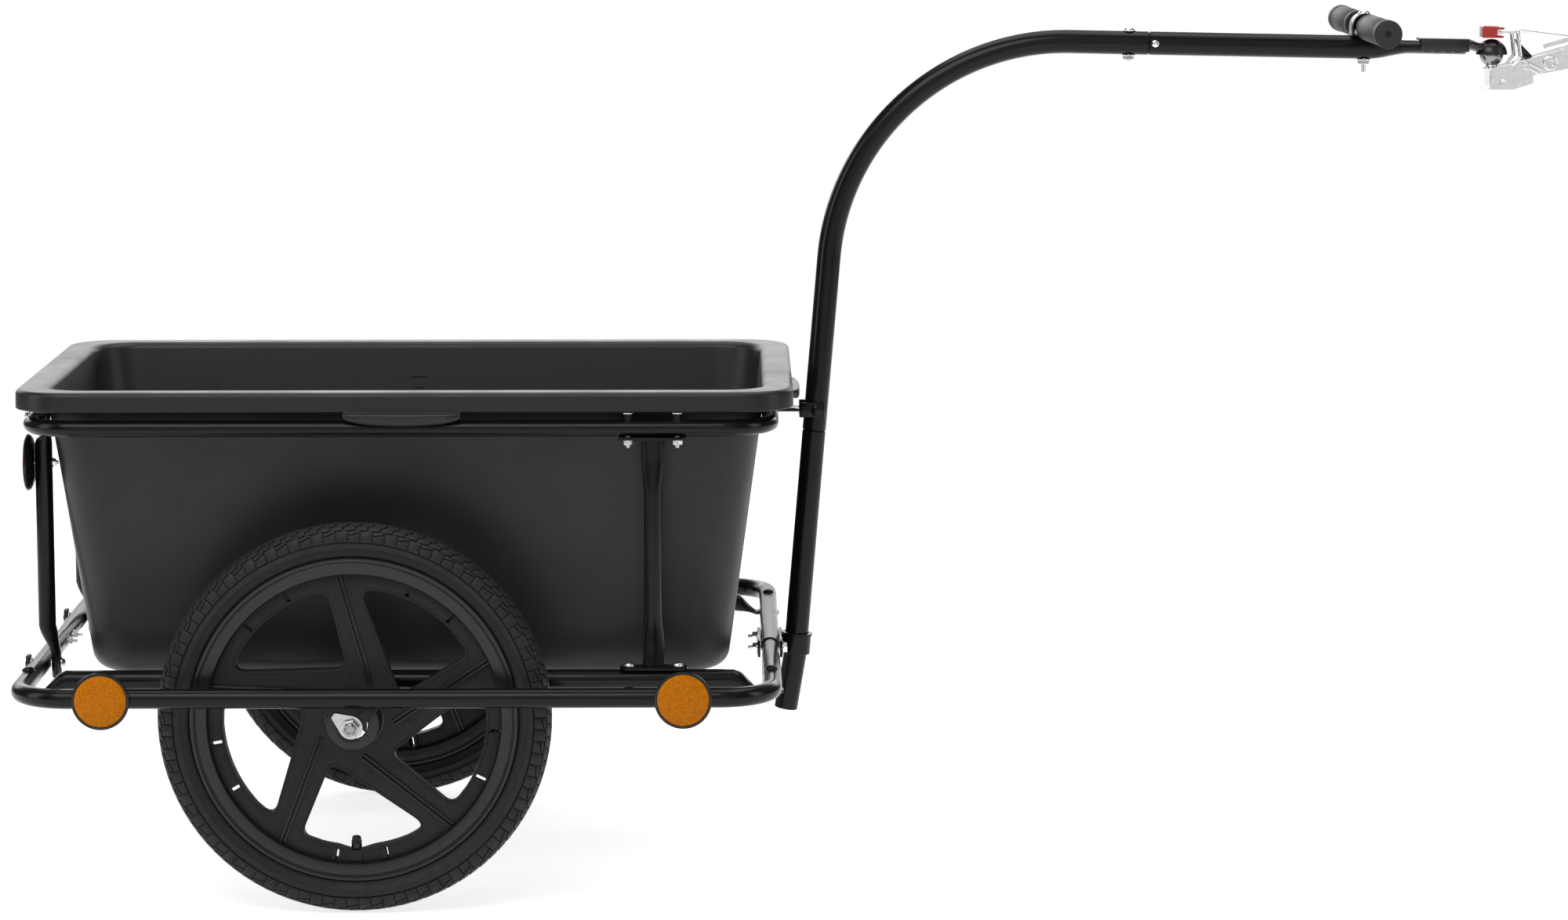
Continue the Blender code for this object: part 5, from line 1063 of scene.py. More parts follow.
def outwards(shape):
    bmesh.ops.recalc_face_normals(shape, faces=shape.faces)
    return shape


def meet(p, q, r, s):
    """Where the line through p and q meets the line through r and s."""
    way, other = q - p, s - r
    return p + way * ((r - p).cross(other) / way.cross(other))


def reach_circle(start, end, radius):
    """Where the line from start through end leaves a circle about the origin."""
    way = (end - start).normalized()
    nearest = start.dot(way)
    return start + way * (-nearest + math.sqrt(nearest**2 - start.length_squared + radius**2))


def spoke_ways(index):
    """The directions along a spoke and square to it."""
    angle = SPOKE_ANGLE - 2 * math.pi * index / SPOKES
    along = Vector(polar(1, angle))
    return along, Vector((along.y, -along.x))


def rib_line(index):
    """The ends of the rib on a spoke, near the hub and at the rim."""
    way, out = spoke_ways(index)
    out *= SPOKE_OFFSET
    return way * 0.030 + out * 0.92, reach_circle(way * HUB_RADIUS + out, way * 0.14 + out, RIB_END)


def eased_corner(here, before, after):
    """A curve that cuts a window's corner."""
    back, ahead = (before - here).normalized(), (after - here).normalized()
    run = min(0.010 / math.tan(back.angle(ahead) / 2), 0.022)
    start, end = here + back * run, here + ahead * run
    shares = [k / 8 for k in range(9)]
    return [start * (1 - s) ** 2 + here * 2 * s * (1 - s) + end * s**2 for s in shares]


def window_outline(index):
    """The opening between two spokes, whose edges spread towards the hub."""
    edges = []
    for spoke, hand in ((index, 1), (index + 1, -1)):
        way, out = spoke_ways(spoke)
        edges += [
            way * HUB_RADIUS + out * (SPOKE_OFFSET + hand * 0.0215),
            way * 0.134 + out * (SPOKE_OFFSET + hand * 0.016),
        ]
    first = reach_circle(*edges[:2], WINDOW_RADIUS)
    last = reach_circle(*edges[2:], WINDOW_RADIUS)
    start = math.atan2(first.y, first.x)
    span = (start - math.atan2(last.y, last.x)) % (2 * math.pi)
    bow = []
    for x, y in arc(1, start, start - span, 24):
        dip = max(0.0, 0.0042 * (1 - abs(WINDOW_RADIUS * x) / 0.018)) if y < 0 else 0.0
        bow.append(Vector((x, y)) * (WINDOW_RADIUS + dip))
    tip = meet(*edges)
    route = eased_corner(tip, bow[-1], bow[0]) + eased_corner(bow[0], tip, bow[4])
    end = route[-1]
    route += [p for p in bow[4:-4] if (p - end).length > 0.004]
    route += eased_corner(bow[-1], bow[-5], tip)
    return [(p.x, p.y) for p in route]


def grown(outline, by):
    """A closed outline pushed outwards by a small distance."""
    count = len(outline)
    area = sum(outline[i - 1][0] * outline[i][1] - outline[i][0] * outline[i - 1][1] for i in range(count))
    hand = by if area > 0 else -by
    made = []
    for i, (x, y) in enumerate(outline):
        way = (Vector(outline[(i + 1) % count]) - Vector(outline[i - 1])).normalized()
        made.append((x + way.y * hand, y - way.x * hand))
    return made


def within(point, outline):
    """Whether a point lies inside a closed outline."""
    x, y = point
    inside = False
    for (x0, y0), (x1, y1) in zip(outline, outline[1:] + outline[:1]):
        if (y0 > y) != (y1 > y) and x < x0 + (x1 - x0) * (y - y0) / (y1 - y0):
            inside = not inside
    return inside


def flat_plate(outline, holes, seat, face, edge):
    """A plate with holes between two levels, its edges softly rounded at the level `face`."""
    way = edge if face > seat else -edge
    levels = [(0.0, seat)]
    levels += [(edge * (1 - math.cos(a)), face - way + way * math.sin(a)) for a in quarter_turn(3)]
    shape = bmesh.new()
    flat, links, lows, highs, bounds = [], [], [], [], []
    for number, loop in enumerate([outline] + holes):
        hand = 1 if number else -1
        rings = []
        for inset, z in levels:
            rings.append([shape.verts.new((x, y, z)) for x, y in grown(loop, hand * inset)])
        count = len(loop)
        for low, high in zip(rings, rings[1:]):
            for k in range(count):
                shape.faces.new((low[k], low[k - 1], high[k - 1], high[k]))
        first = len(flat)
        links += [(first + k, first + (k + 1) % count) for k in range(count)]
        bounds.append(grown(loop, hand * edge))
        flat += [Vector(point) for point in bounds[-1]]
        lows += rings[0]
        highs += rings[-1]
    points, _, triangles, origins, _, _ = geometry.delaunay_2d_cdt(flat, links, [], 0, 1e-7)
    for corners in triangles:
        middle = sum((points[k] for k in corners), Vector((0, 0))) / 3
        if not within(middle, bounds[0]) or any(within(middle, bound) for bound in bounds[1:]):
            continue
        for verts in (lows, highs):
            shape.faces.new([verts[origins[k][0]] for k in corners])
    return outwards(shape)


def slot_outline(turn, low, half, radius):
    """A rectangle with round corners that points out from the hub and ends at the rim."""
    high = 0.1472
    points = flat_rounded([(low, -half), (high, -half), (high, half), (low, half)], radius, 3)
    c, s = polar(1, turn)
    return [(x * c - y * s, x * s + y * c) for x, y in points]


def mirrored(profile):
    """A profile of (radius, height) points followed by its mirror image."""
    return profile + [(radius, -z) for radius, z in reversed(profile)]


class TRAILER_OT_wheels(PieceOperator, bpy.types.Operator):
    """Makes both moulded wheels with their ribs and windows, the tyres and the valves"""

    bl_idname = "trailer.wheels"
    bl_label = "Wheels and tyres"

    def make(self):
        depth = sizes().tread_depth
        tyre = join(tyre_carcass(depth), tyre_blocks(depth))
        rim, web = self.rim(), self.web()
        for side in (-1, 1):
            where, place = name_of(side), facing(side)
            body = f"{where}_wheel"
            upright = Matrix.Translation((0, side * WHEEL_Y, AXLE_Z))
            for name, shape, node, look, sharp in (
                ("treaded_tyre", moved(tyre.copy(), place), f"tyre_{where}", "tyre_rubber", 40),
                ("moulded_rim", moved(rim.copy(), place), f"wheel_{where}", "wheel_plastic", 32),
                ("spoked_web", moved(web.copy(), place), (), "web_plastic", 20),
                ("capped_valve", moved(self.valve(), upright), f"valve_{where}", "wheel_plastic", 35),
            ):
                piece(f"{name}_{where}", shape, node, look, body, sharp)

    def rim(self):
        """The hub's shell, the rim and the spokes' ribs about local Z."""
        end, radius = HUB_HALF, HUB_RADIUS
        hub = [
            (0.0142, end - 0.012), (0.0163, end - 0.0108), (0.0163, end - 0.0006), (0.0169, end),
            (radius - 0.001, end), (radius - 0.0003, end - 0.0003), (radius, end - 0.001),
            (radius + 0.0004, WEB_HALF + 0.003), (radius + 0.0014, WEB_HALF + 0.0012),
            (radius + 0.003, WEB_HALF + GAP),
        ]
        rings = revolve(mirrored(hub), 72), revolve(mirrored(RIM_SECTION), 192)
        return join(*rings, *self.ribs(-1), *self.ribs(1))

    def web(self):
        """The five spokes about local Z, the valve's place straight down."""
        windows = [window_outline(k) for k in range(SPOKES)]
        slots, pockets = [], []
        for k in range(SPOKES):
            far = rib_line(k)[1]
            for step in SLOT_TURNS:
                turn = math.atan2(far.y, far.x) + step
                slots.append(slot_outline(turn, 0.1360, 0.0017, 0.0006))
                pockets.append(slot_outline(turn, 0.1355, 0.0045, 0.0015))
        shapes = [
            flat_plate(circle(WEB_RADIUS, 192), windows + holes, WEB_HALF - 0.005, face, 0.0007)
            for holes, face in ((slots, WEB_HALF), (pockets, -WEB_HALF))
        ]
        for sign in (-1, 1):
            shapes += self.face_details(sign, windows)
        corners = [(-0.0066, -0.1475), (0.0066, -0.1475), (0.0058, -0.1368), (-0.0058, -0.1368)]
        boss = prism(flat_rounded(corners, 0.001, 3), -0.0098, 0.0098, "xy")
        return join(*shapes, soften(boss, 0.0007))

    def on_face(self, shape, sign, turn=0.0, spot=(0.0, 0.0)):
        """A shape drawn on the plane Z = 0, set on one face of the web."""
        lift = Matrix.Translation((*spot, sign * WEB_HALF)) @ Matrix.Diagonal((1, 1, sign, 1))
        return outwards(moved(shape, lift @ Matrix.Rotation(turn, 4, "Z")))

    def ribs(self, sign):
        """The pair of ribs on each spoke, on one face of the web."""
        made = []
        for k in range(SPOKES):
            near, far = rib_line(k)
            line = (far - near).normalized()
            aside = Vector((line.y, -line.x))
            half = aside * 0.0010
            for offset in (-0.0021, 0.0021):
                first, last = near + aside * offset, far + aside * offset
                outline = [first - half, first + half, last + half, last - half]
                rib = prism([(p.x, p.y) for p in outline], -0.001, sizes().rib_height, "xy")
                made.append(self.on_face(soften(rib, 0.0006, 3), sign))
        return made

    def face_details(self, sign, windows):
        """Lips, posts and ejector marks on one face of the web."""
        marks = []
        for k in range(SPOKES):
            way, out = spoke_ways(k)
            for spot, share, aside in (
                (0.1250, 0.98, 0.0115), (0.1250, 0.98, -0.0115),
                (0.047, 0.9, 0.0125), (0.047, 0.9, -0.0135),
            ):
                marks.append(way * spot + out * (SPOKE_OFFSET * share + aside))
            far = rib_line(k)[1]
            marks.append(polar(0.1402, math.atan2(far.y, far.x) + math.radians(31.8)))
        profile = [(0.0040, -0.0005), (0.0040, 0.0002), (0.0037, 0.0004)]
        made = [self.on_face(turned(profile, 20), sign, 0.0, spot) for spot in marks]
        for degrees in (-99.0, -78.6):
            post = soften(box((0.1350, -0.0017, -0.001), (0.1475, 0.0017, 0.0034)))
            made.append(self.on_face(post, sign, math.radians(degrees)))
        for outline in windows:
            route = [(x, y, sign * (WEB_HALF - 0.0004)) for x, y in grown(outline, 0.0021)]
            made.append(sweep(route, 0.0010, UP, 8, True))
        return made

    def valve(self):
        """The valve's stem and its ribbed cap, below the axle."""
        ribs = 40
        stem = [
            (0.0010, -0.1226), (0.0030, -0.1229), (0.0041, -0.1237), (0.0047, -0.1250), (0.0048, -0.1272),
            (0.0053, -0.1278), (0.0053, -0.1352), (0.0050, -0.1358), (0.0030, -0.1360), (0.0030, -0.1515),
        ]
        cap = turned(stem, ribs)
        for vertex in cap.verts:
            x, y, z = vertex.co
            if -0.1353 <= z <= -0.1277 and round(math.atan2(y, x) / (2 * math.pi) * ribs) % 2:
                vertex.co = (0.93 * x, 0.93 * y, z)
        return cap


class TRAILER_OT_axles(PieceOperator, bpy.types.Operator):
    """Makes the axles, tab washers and nuts, and finishes the bearings"""

    bl_idname = "trailer.axles"
    bl_label = "Axles and nuts"

    def make(self):
        inner_face = INNER_DROPOUT_Y - 0.002 - GAP - WHEEL_Y
        outer_face = OUTER_Y + 0.002 + GAP - WHEEL_Y
        start = outer_face + 0.002 + GAP
        cone = HUB_HALF + GAP
        shaft, wide = 0.005, 0.0075
        profile = [
            (wide, inner_face - 0.006), (0.008, inner_face - 0.0054), (0.008, inner_face),
            (shaft, inner_face), (shaft, -cone - 0.0082), (wide, -cone - 0.0082), (wide, -cone),
            (shaft, -cone), (shaft, cone), (0.0070, cone), (wide, cone + 0.0006),
            (wide, cone + 0.0070), (0.0068, cone + 0.0076), (0.0068, cone + 0.0086),
            (wide, cone + 0.0092), (wide, cone + 0.0142), (shaft, cone + 0.0142),
            (shaft, start + 0.004),
        ]
        nut_profile = [
            (0.0078, start), (0.0092, start + 0.0006), (0.0092, start + 0.0052),
            (0.0080, start + 0.006), (0.0062, start + 0.006), (0.0052, start + 0.0052),
        ]
        for side in (-1, 1):
            where, place = name_of(side), facing(side)
            axle = join(turned(profile, 36), thread(0.0049, start + 0.004, start + 0.009))
            piece(f"cut_axle_{where}", moved(axle, place), f"axle_{where}", "dull_zinc")
            self.washer(side, outer_face)
            nut = moved(turned(nut_profile, 6, 0.2), place)
            piece(f"hex_nut_{where}", nut, f"axle_nut_{where}", "dull_zinc", sharp=25)
            for end in ("inner", "outer"):
                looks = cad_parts[f"bearing_{end}_{where}"].data.materials
                looks.clear()
                looks.append(finish("zinc_plated_steel"))

    def washer(self, side, face):
        """The safety washer, whose tab hooks over the dropout."""
        tab = math.radians(145)
        outline = arc(0.012, tab + math.radians(60), tab + math.radians(300), 24)
        outline += [polar(reach, tab + aside) for reach, aside in (
            (0.0212, -0.16), (0.022, -0.10), (0.022, 0.10), (0.0212, 0.16),
        )]
        placed = [(x, AXLE_Z + z) for x, z in outline]
        faces = sorted((side * (WHEEL_Y + face), side * (WHEEL_Y + face + 0.002)))
        where = name_of(side)
        shape = soften(prism(placed, *faces), 0.0004)
        piece(f"safety_washer_{where}", shape, f"tab_washer_{where}", "grey_zinc", sharp=20)


# Drawbar


class TRAILER_OT_clamp(PieceOperator, bpy.types.Operator):
    """Makes the strap clamp at the drawbar's foot and the stay from the hoop"""

    bl_idname = "trailer.clamp"
    bl_label = "Clamp and stay"

    def make(self):
        inner, outer, half, thick = TUBE + GAP, TUBE + GAP + 0.003, 0.0115, 0.003
        ring = [
            (inner, -half), (outer - 0.0005, -half), (outer, -half + 0.0005), (outer, half - 0.003),
            (outer + 0.0012, half - 0.0024), (outer + 0.0012, half - 0.0004), (outer, half), (inner, half),
        ]
        strap = moved(revolve(ring, 48), aim(POST_CLAMP, POST_UP))
        back = BAR_X[1] + RAIL_RADIUS + GAP
        front = BAR_X[1] - RAIL_RADIUS - GAP
        z = POST_CLAMP.z
        wide, tall = 0.042, 0.009
        plates = [
            soften(box((x, -wide, z - tall), (x + thick, wide, z + tall)), 0.0006)
            for x in (back, front - thick)
        ]
        piece("strap_clamp", join(strap, *plates), "drawbar_clamp")
        deep = back - front + 2 * thick
        bolts = [
            bolt((back + thick, y, z), -FORWARD, deep, tip=0.0045, head="hex") for y in (-0.033, 0.033)
        ]
        piece("strap_clamp_bolts", join(*bolts), (), "bright_zinc")
        self.stay()

    def stay(self):
        top = HOOP_Z - HOOP_RADIUS - GAP
        thick = 0.0032
        middle = top - thick / 2
        tube = POST_CLAMP + POST_UP * ((middle - POST_CLAMP.z) / POST_UP.z)
        half = TUBE + GAP + 0.0018
        reach = tube.x - TUBE - 2 * GAP - 0.001
        shapes = [soften(box((HOOP_X[1] - 0.010, -half, top - thick), (reach, half, top)), 0.0008)]
        for side in (-1, 1):
            low, high = sorted((side * (TUBE + GAP), side * half))
            cheek = box((tube.x - 0.018, low, middle - 0.008), (tube.x + 0.0090, high, middle + 0.008))
            shapes.append(soften(cheek, 0.0008))
        piece("stay_strap", join(*shapes), "hoop_stay")
        across = bolt(tube - LEFT * half, LEFT, 2 * half, 0.0028, 0.0)
        down = bolt((HOOP_X[1], 0, HOOP_Z + HOOP_RADIUS), -UP, 2 * HOOP_RADIUS + thick, 0.0028, 0.0)
        piece("stay_bolts", join(across, down))


class TRAILER_OT_drawbar(PieceOperator, bpy.types.Operator):
    """Makes the drawbar's post, bend and front tube with their joint, button and bolt"""

    bl_idname = "trailer.drawbar"
    bl_label = "Drawbar"

    def make(self):
        sides = sizes().tube_sides + 8
        seam = 0.0007

        def tube(route):
            """A tube whose ends are turned in a little at its seams."""
            return sweep(route, [TUBE - seam] + [TUBE] * (len(route) - 2) + [TUBE - seam], LEFT, sides)

        post = [
            STUB_BOTTOM, STUB_BOTTOM + (STUB_TOP - STUB_BOTTOM).normalized() * seam, STUB_TOP,
            POST_JOINT - POST_UP * (seam + GAP), POST_JOINT - POST_UP * GAP,
        ]
        piece("post_tube", tube(post), "drawbar_post")
        start = BEND_START - BEND_CENTRE
        total = math.pi / 2 - POST_LEAN + FRONT_SLOPE
        steps = 48
        route = [POST_JOINT + POST_UP * GAP, POST_JOINT + POST_UP * (GAP + seam)]
        for k in range(steps + 1):
            route.append(BEND_CENTRE + Matrix.Rotation(total * k / steps, 3, "Y") @ start)
        route += [FRONT_JOINT - FRONT_WAY * (GAP + seam), FRONT_JOINT - FRONT_WAY * GAP]
        cores = [
            rod(joint - way * 0.003, joint + way * 0.003, 0.0108)
            for joint, way in ((POST_JOINT, POST_UP), (FRONT_JOINT, FRONT_WAY))
        ]
        piece("bent_tube", join(tube(route), *cores), "drawbar_bend")
        flat = (0.0157, 0.0073)
        lift = FRONT_UP * 0.0015
        stations = [
            (FRONT_JOINT + FRONT_WAY * GAP, TUBE), (FLAT_START - FRONT_WAY * 0.008, TUBE),
            (FLAT_START + FRONT_WAY * 0.035 + lift, flat), (FLAT_END + lift, flat),
        ]
        piece("front_tube", tube_run(stations, LEFT, sides, seam, 14), "drawbar_front")
        dome = [
            (0.004, -0.009), (0.004, -0.0018), (0.0036, -0.0008),
            (0.0026, -0.0002), (0.0012, 0.0), (1e-5, 0.0),
        ]
        place = aim(BUTTON - LEFT * (TUBE + 0.003), -LEFT)
        piece("button_dome", moved(turned(dome, 28), place), "snap_button", "bright_zinc", "button")
        cross = bolt(JOINT_BOLT + FRONT_UP * (TUBE - 0.0003), -FRONT_UP, 2 * TUBE - 0.0006)
        piece("joint_bolt", cross, "drawbar_joint_bolt", "bright_zinc")


class TRAILER_OT_handle(PieceOperator, bpy.types.Operator):
    """Makes the pull handle: bar, two grips, saddle clamp and through bolt"""

    bl_idname = "trailer.handle"
    bl_label = "Pull handle"

    def make(self):
        end = LEFT * HANDLE_HALF
        piece("handle_tube", rod(HANDLE - end, HANDLE + end, HANDLE_RADIUS, 40), "handle_bar")
        profile = [
            (0.0113, 0.045), (0.0134, 0.045), (0.0140, 0.0456), (0.0140, 0.0570), (0.0136, 0.0576),
            (0.0136, 0.0590), (0.0140, 0.0596), (0.0140, 0.1655), (0.0135, 0.1665), (0.0135, 0.1680),
            (0.0143, 0.1690), (0.0145, 0.1700), (0.0145, 0.1852), (0.0142, 0.1864), (0.0134, 0.1869),
            (0.0100, 0.1870), (0.0036, 0.1870), (0.0032, 0.1868), (0.0031, 0.1840), (1e-5, 0.1840),
        ]
        for side in (-1, 1):
            name = name_of(side)
            grip = moved(turned(profile, 48), aim(HANDLE, LEFT * side))
            piece(f"rubber_grip_{name}", grip, f"grip_{name}", "grip_rubber")
        inner, outer = HANDLE_RADIUS + GAP, 0.0138
        low = -0.0222 + TUBE + 2 * GAP
        over = arc(inner, 0, math.pi, 16)
        outline = [(outer, low)] + arc(outer, 0, math.pi, 16) + [(-outer, low), (-inner, low)]
        outline += [(-x, z) for x, z in over] + [(inner, low)]
        placed = [(HANDLE.x + x, HANDLE.z + z) for x, z in outline]
        saddle = soften(prism(placed, -0.014, 0.014), 0.0006)
        feet = box(HANDLE + Vector((-0.013, -0.006, -0.0135)), HANDLE + Vector((0.013, 0.006, -0.009)))
        piece("saddle_clamp", join(saddle, feet), "handle_clamp")
        cross = bolt(HANDLE + UP * (outer - 0.0012), -UP, outer + 0.0210 + TUBE, tip=0.0090)
        piece("handle_stud", cross, "handle_bolt", "bright_zinc")


# Hitch


def along_flat(along, above):
    """A point over the front tube's flat end, by its distances along and square to it."""
    return FLAT_END + FRONT_WAY * along + FRONT_UP * above


def slab(start, end, low, high, y, half, edge):
    """A block along the front tube's flat end, about the plane of that Y."""
    points = [along_flat(*at) for at in ((start, low), (end, low), (end, high), (start, high))]
    return soften(prism([(p.x, p.z) for p in points], y - half, y + half), edge)


def near_ball(x, y, z):
    return BALL + Vector((x, y, z))


def ball_box(low, high, edge):
    """A box given from the ball's middle."""
    return soften(box(near_ball(*low), near_ball(*high)), edge)


def ball_plate(outline, low, high, radius, steps, edge=None):
    """A plate with eased corners, its outline given from the ball's middle."""
    eased = flat_rounded([(BALL.x + x, BALL.z + z) for x, z in outline], radius, steps)
    return soften(prism(eased, low, high), edge)


def arm_point(ahead, above):
    """A point of the bracket's arms, by its distances along and across their rise."""
    c, s = polar(1, math.radians(15))
    return 0.0809 + ahead * c - above * s, -0.0023 + ahead * s + above * c


class TRAILER_OT_coupling(PieceOperator, bpy.types.Operator):
    """Makes the pressed coupling head with its crimped sleeve, neck and cup, and the ball"""

    bl_idname = "trailer.coupling"
    bl_label = "Coupling head and ball"

    def make(self):
        outer = 0.0180
        top = 0.0015 + 0.0073 + GAP
        low = top - 0.0115
        back, front = -0.049, 0.0023
        shapes = [slab(back, front, top, top + 0.002, 0, outer, 0.0007)]
        for side in (-1, 1):
            shapes.append(slab(back, front, low, top + 0.001, side * (outer - 0.001), 0.001, 0.0006))
            for k in range(4):
                start = -0.046 + 0.011 * k
                y = side * (outer - 0.0022)
                shapes.append(slab(start, start + 0.0075, low - 0.0012, low + 0.0015, y, 0.0016, None))
        neck = along_flat(2 * GAP, top + 0.002 - 0.0058)
        route = [
            (neck, (0.0166, 0.0058)),
            (neck + FRONT_WAY * 0.003, (0.0160, 0.0058)),
            (near_ball(-0.0150, 0, 0.0078), (0.0112, 0.0050)),
            (near_ball(-0.0060, 0, 0.0078), (0.0110, 0.0045)),
        ]
        shapes.append(tube_run(route, LEFT, 32, 0.0004, 8))
        hollow, radius = BALL_RADIUS + 0.0005, BALL_RADIUS + 0.0040
        lining = [polar(hollow, a) for a in (1.5, 1.2, 0.9, 0.6, 0.3, 0.1)]
        rim = [(hollow, 0.0), (radius - 0.0005, 0.0)]
        cup = turned(lining + rim + half_ball(radius, 0.0004, 16), 56)
        shapes.append(moved(cup, Matrix.Translation(BALL)))
        piece("pressed_head", join(*shapes), "coupling_head", "satin_powder_coat", sharp=40)
        ball = bmesh.new()
        place = Matrix.Translation(BALL)
        bmesh.ops.create_uvsphere(ball, u_segments=48, v_segments=24, radius=BALL_RADIUS, matrix=place)
        piece("polished_ball", ball, "hitch_ball", "dull_zinc", "ball")


class TRAILER_OT_bracket(PieceOperator, bpy.types.Operator):
    """Makes the folded seat post bracket with its bolts, lock pin, spring clip and keeper"""

    bl_idname = "trailer.bracket"
    bl_label = "Seat post bracket"

    def make(self):
        cheek = [
            (-0.0035, -0.0137), (0.0208, -0.0090), (0.0313, -0.0049), arm_point(0.0, 0.0108),
            arm_point(0.0371, 0.0108), arm_point(0.0371, -0.0108), arm_point(-0.012, -0.0108),
            (0.0418, -0.0214), (0.0418, -0.0300), (0.0208, -0.0366), (-0.0035, -0.0366),
        ]
        strap = [
            arm_point(*at) for at in (
                (-0.020, 0.0130), (0.030, 0.0130), (0.030, 0.0100), (0.0371, 0.0100),
                (0.0371, 0.0185), (-0.020, 0.0185),
            )
        ]
        # A punched hole is drawn as a dished ring on the plate
        eyelet = [(0.0031 * out, z) for out, z in ((0.55, 0.0), (1, 0.00025), (1.15, 0.0003), (1.25, 0.0))]
        shapes = []
        for side in (-1, 1):
            shapes.append(ball_plate(cheek, *sorted((side * 0.015, side * 0.018)), 0.0016, 4, 0.0006))
            place = aim(near_ball(0.0097, side * 0.018, -0.029), LEFT * side)
            shapes.append(moved(revolve(eyelet, 24), place))
        top = -0.0137
        for low, high, edge in (
            ((-0.0035, -0.0175, top - 0.003), (0.020, 0.0175, top), 0.0008),
            ((-0.004, -0.0175, -0.0361), (-0.0005, 0.0175, top - 0.0005), 0.0008),
            ((-0.0075, -0.017, -0.0361), (-0.0025, 0.017, -0.0341), 0.0006),
        ):
            shapes.append(ball_box(low, high, edge))
        shapes.append(ball_plate(strap, 0.0153, 0.0178, 0.0008, 3))
        pad = [(0.0085, top - 0.001), (0.0085, top + 0.0004), (0.0066, top + 0.0012), (0.0062, -0.0108)]
        shapes.append(moved(turned(pad, 32), Matrix.Translation(BALL)))
        piece("folded_bracket", join(*shapes), "hitch_bracket", "zinc_plated_steel", "bracket", 20)
        self.clamp_bolts()
        self.pin()
        self.clip()
        corners = [
            near_ball(*at) for at in (
                (0.0255, -0.0262, 0.0268), (0.0687, -0.0262, 0.0214), (0.0809, -0.0262, 0.0199),
                (0.0809, -0.0262, 0.0045), (0.0809, -0.0153, 0.0045),
            )
        ]
        wire = sweep(rounded(corners, 0.0022, 6), 0.0017, LEFT, 20)
        piece("keeper_rod", wire, "keeper_wire", "zinc_plated_steel", "bracket", 60)
        # A thin black blade on a foot between the cheeks
        blade = [
            (0.0243, 0.0163), (0.0252, 0.0163), (0.0436, -0.0026), (0.0436, -0.0045), (0.0338, -0.0045),
        ]
        foot = [(0.0335, -0.0020), (0.0432, -0.0020), (0.0432, -0.0078), (0.0335, -0.0078)]
        wedge = [
            ball_plate(outline, -half, half, 0.0004, 3, 0.0004)
            for outline, half in ((blade, 0.006), (foot, 0.0147))
        ]
        piece("stop_wedge", join(*wedge), (), "black_gloss_plastic", "bracket")

    def clamp_bolts(self):
        outer, head = CHEEK_OUTSIDE, CHEEK_OUTSIDE + 0.0055
        profile = [
            (1e-5, -head + 0.0012), (0.0030, -head + 0.0010), (0.0034, -head), (0.0066, -head),
            (0.0072, -head + 0.0008), (0.0072, -outer - 0.0012), (0.0076, -outer - 0.0010),
            (0.0076, -outer), (0.004, -outer), (0.004, outer), (0.0068, outer),
            (0.0072, outer + 0.0006), (0.0072, head - 0.0008), (0.0066, head), (1e-5, head),
        ]
        for name, ahead in (("rear", -0.0225), ("front", 0.0225)):
            x, z = arm_point(ahead, 0)
            shape = moved(turned(profile, 36), aim(near_ball(x, 0, z), LEFT))
            piece(f"cross_bolt_{name}", shape, f"clamp_bolt_{name}", "bright_zinc", "bracket")

    def pin(self):
        outer = CHEEK_OUTSIDE
        profile = [
            (1e-5, -outer - 0.003), (0.0042, -outer - 0.003), (0.005, -outer - 0.0022), (0.005, -outer),
            (0.003, -outer), (0.003, outer + 0.0075), (0.0024, outer + 0.0085), (1e-5, outer + 0.0085),
        ]
        shape = moved(turned(profile, 30), aim(near_ball(PIN_X, 0, PIN_Z), -LEFT))
        piece("cross_pin", shape, "lock_pin", "bright_zinc", "bracket")

    def clip(self):
        """The spring clip: a straight leg through the pin, a bow and a leg over the pin."""
        c, s = polar(1, math.radians(-27.7))
        way, across = mid(c, s), mid(-s, c)
        centre = near_ball(PIN_X, -CHEEK_OUTSIDE - 0.0057, PIN_Z)
        tip, back = centre - way * 0.006, centre + way * 0.015
        lift = across * 0.0046
        route = [tip + (back - tip) * k / 6 for k in range(7)]
        for k in range(1, 12):
            x, y = polar(1, math.pi * k / 12)
            route.append(back + lift / 2 - lift / 2 * x + way * (0.0023 * y))
        route += [back + lift, centre + way * 0.009 + lift, centre + way * 0.004 + lift]
        route += [centre - way * 0.002 + lift * 0.92, tip + lift]
        piece("hairpin_clip", sweep(route, 0.0009, LEFT, 12), "r_clip", "bright_zinc", "spring_clip", 60)


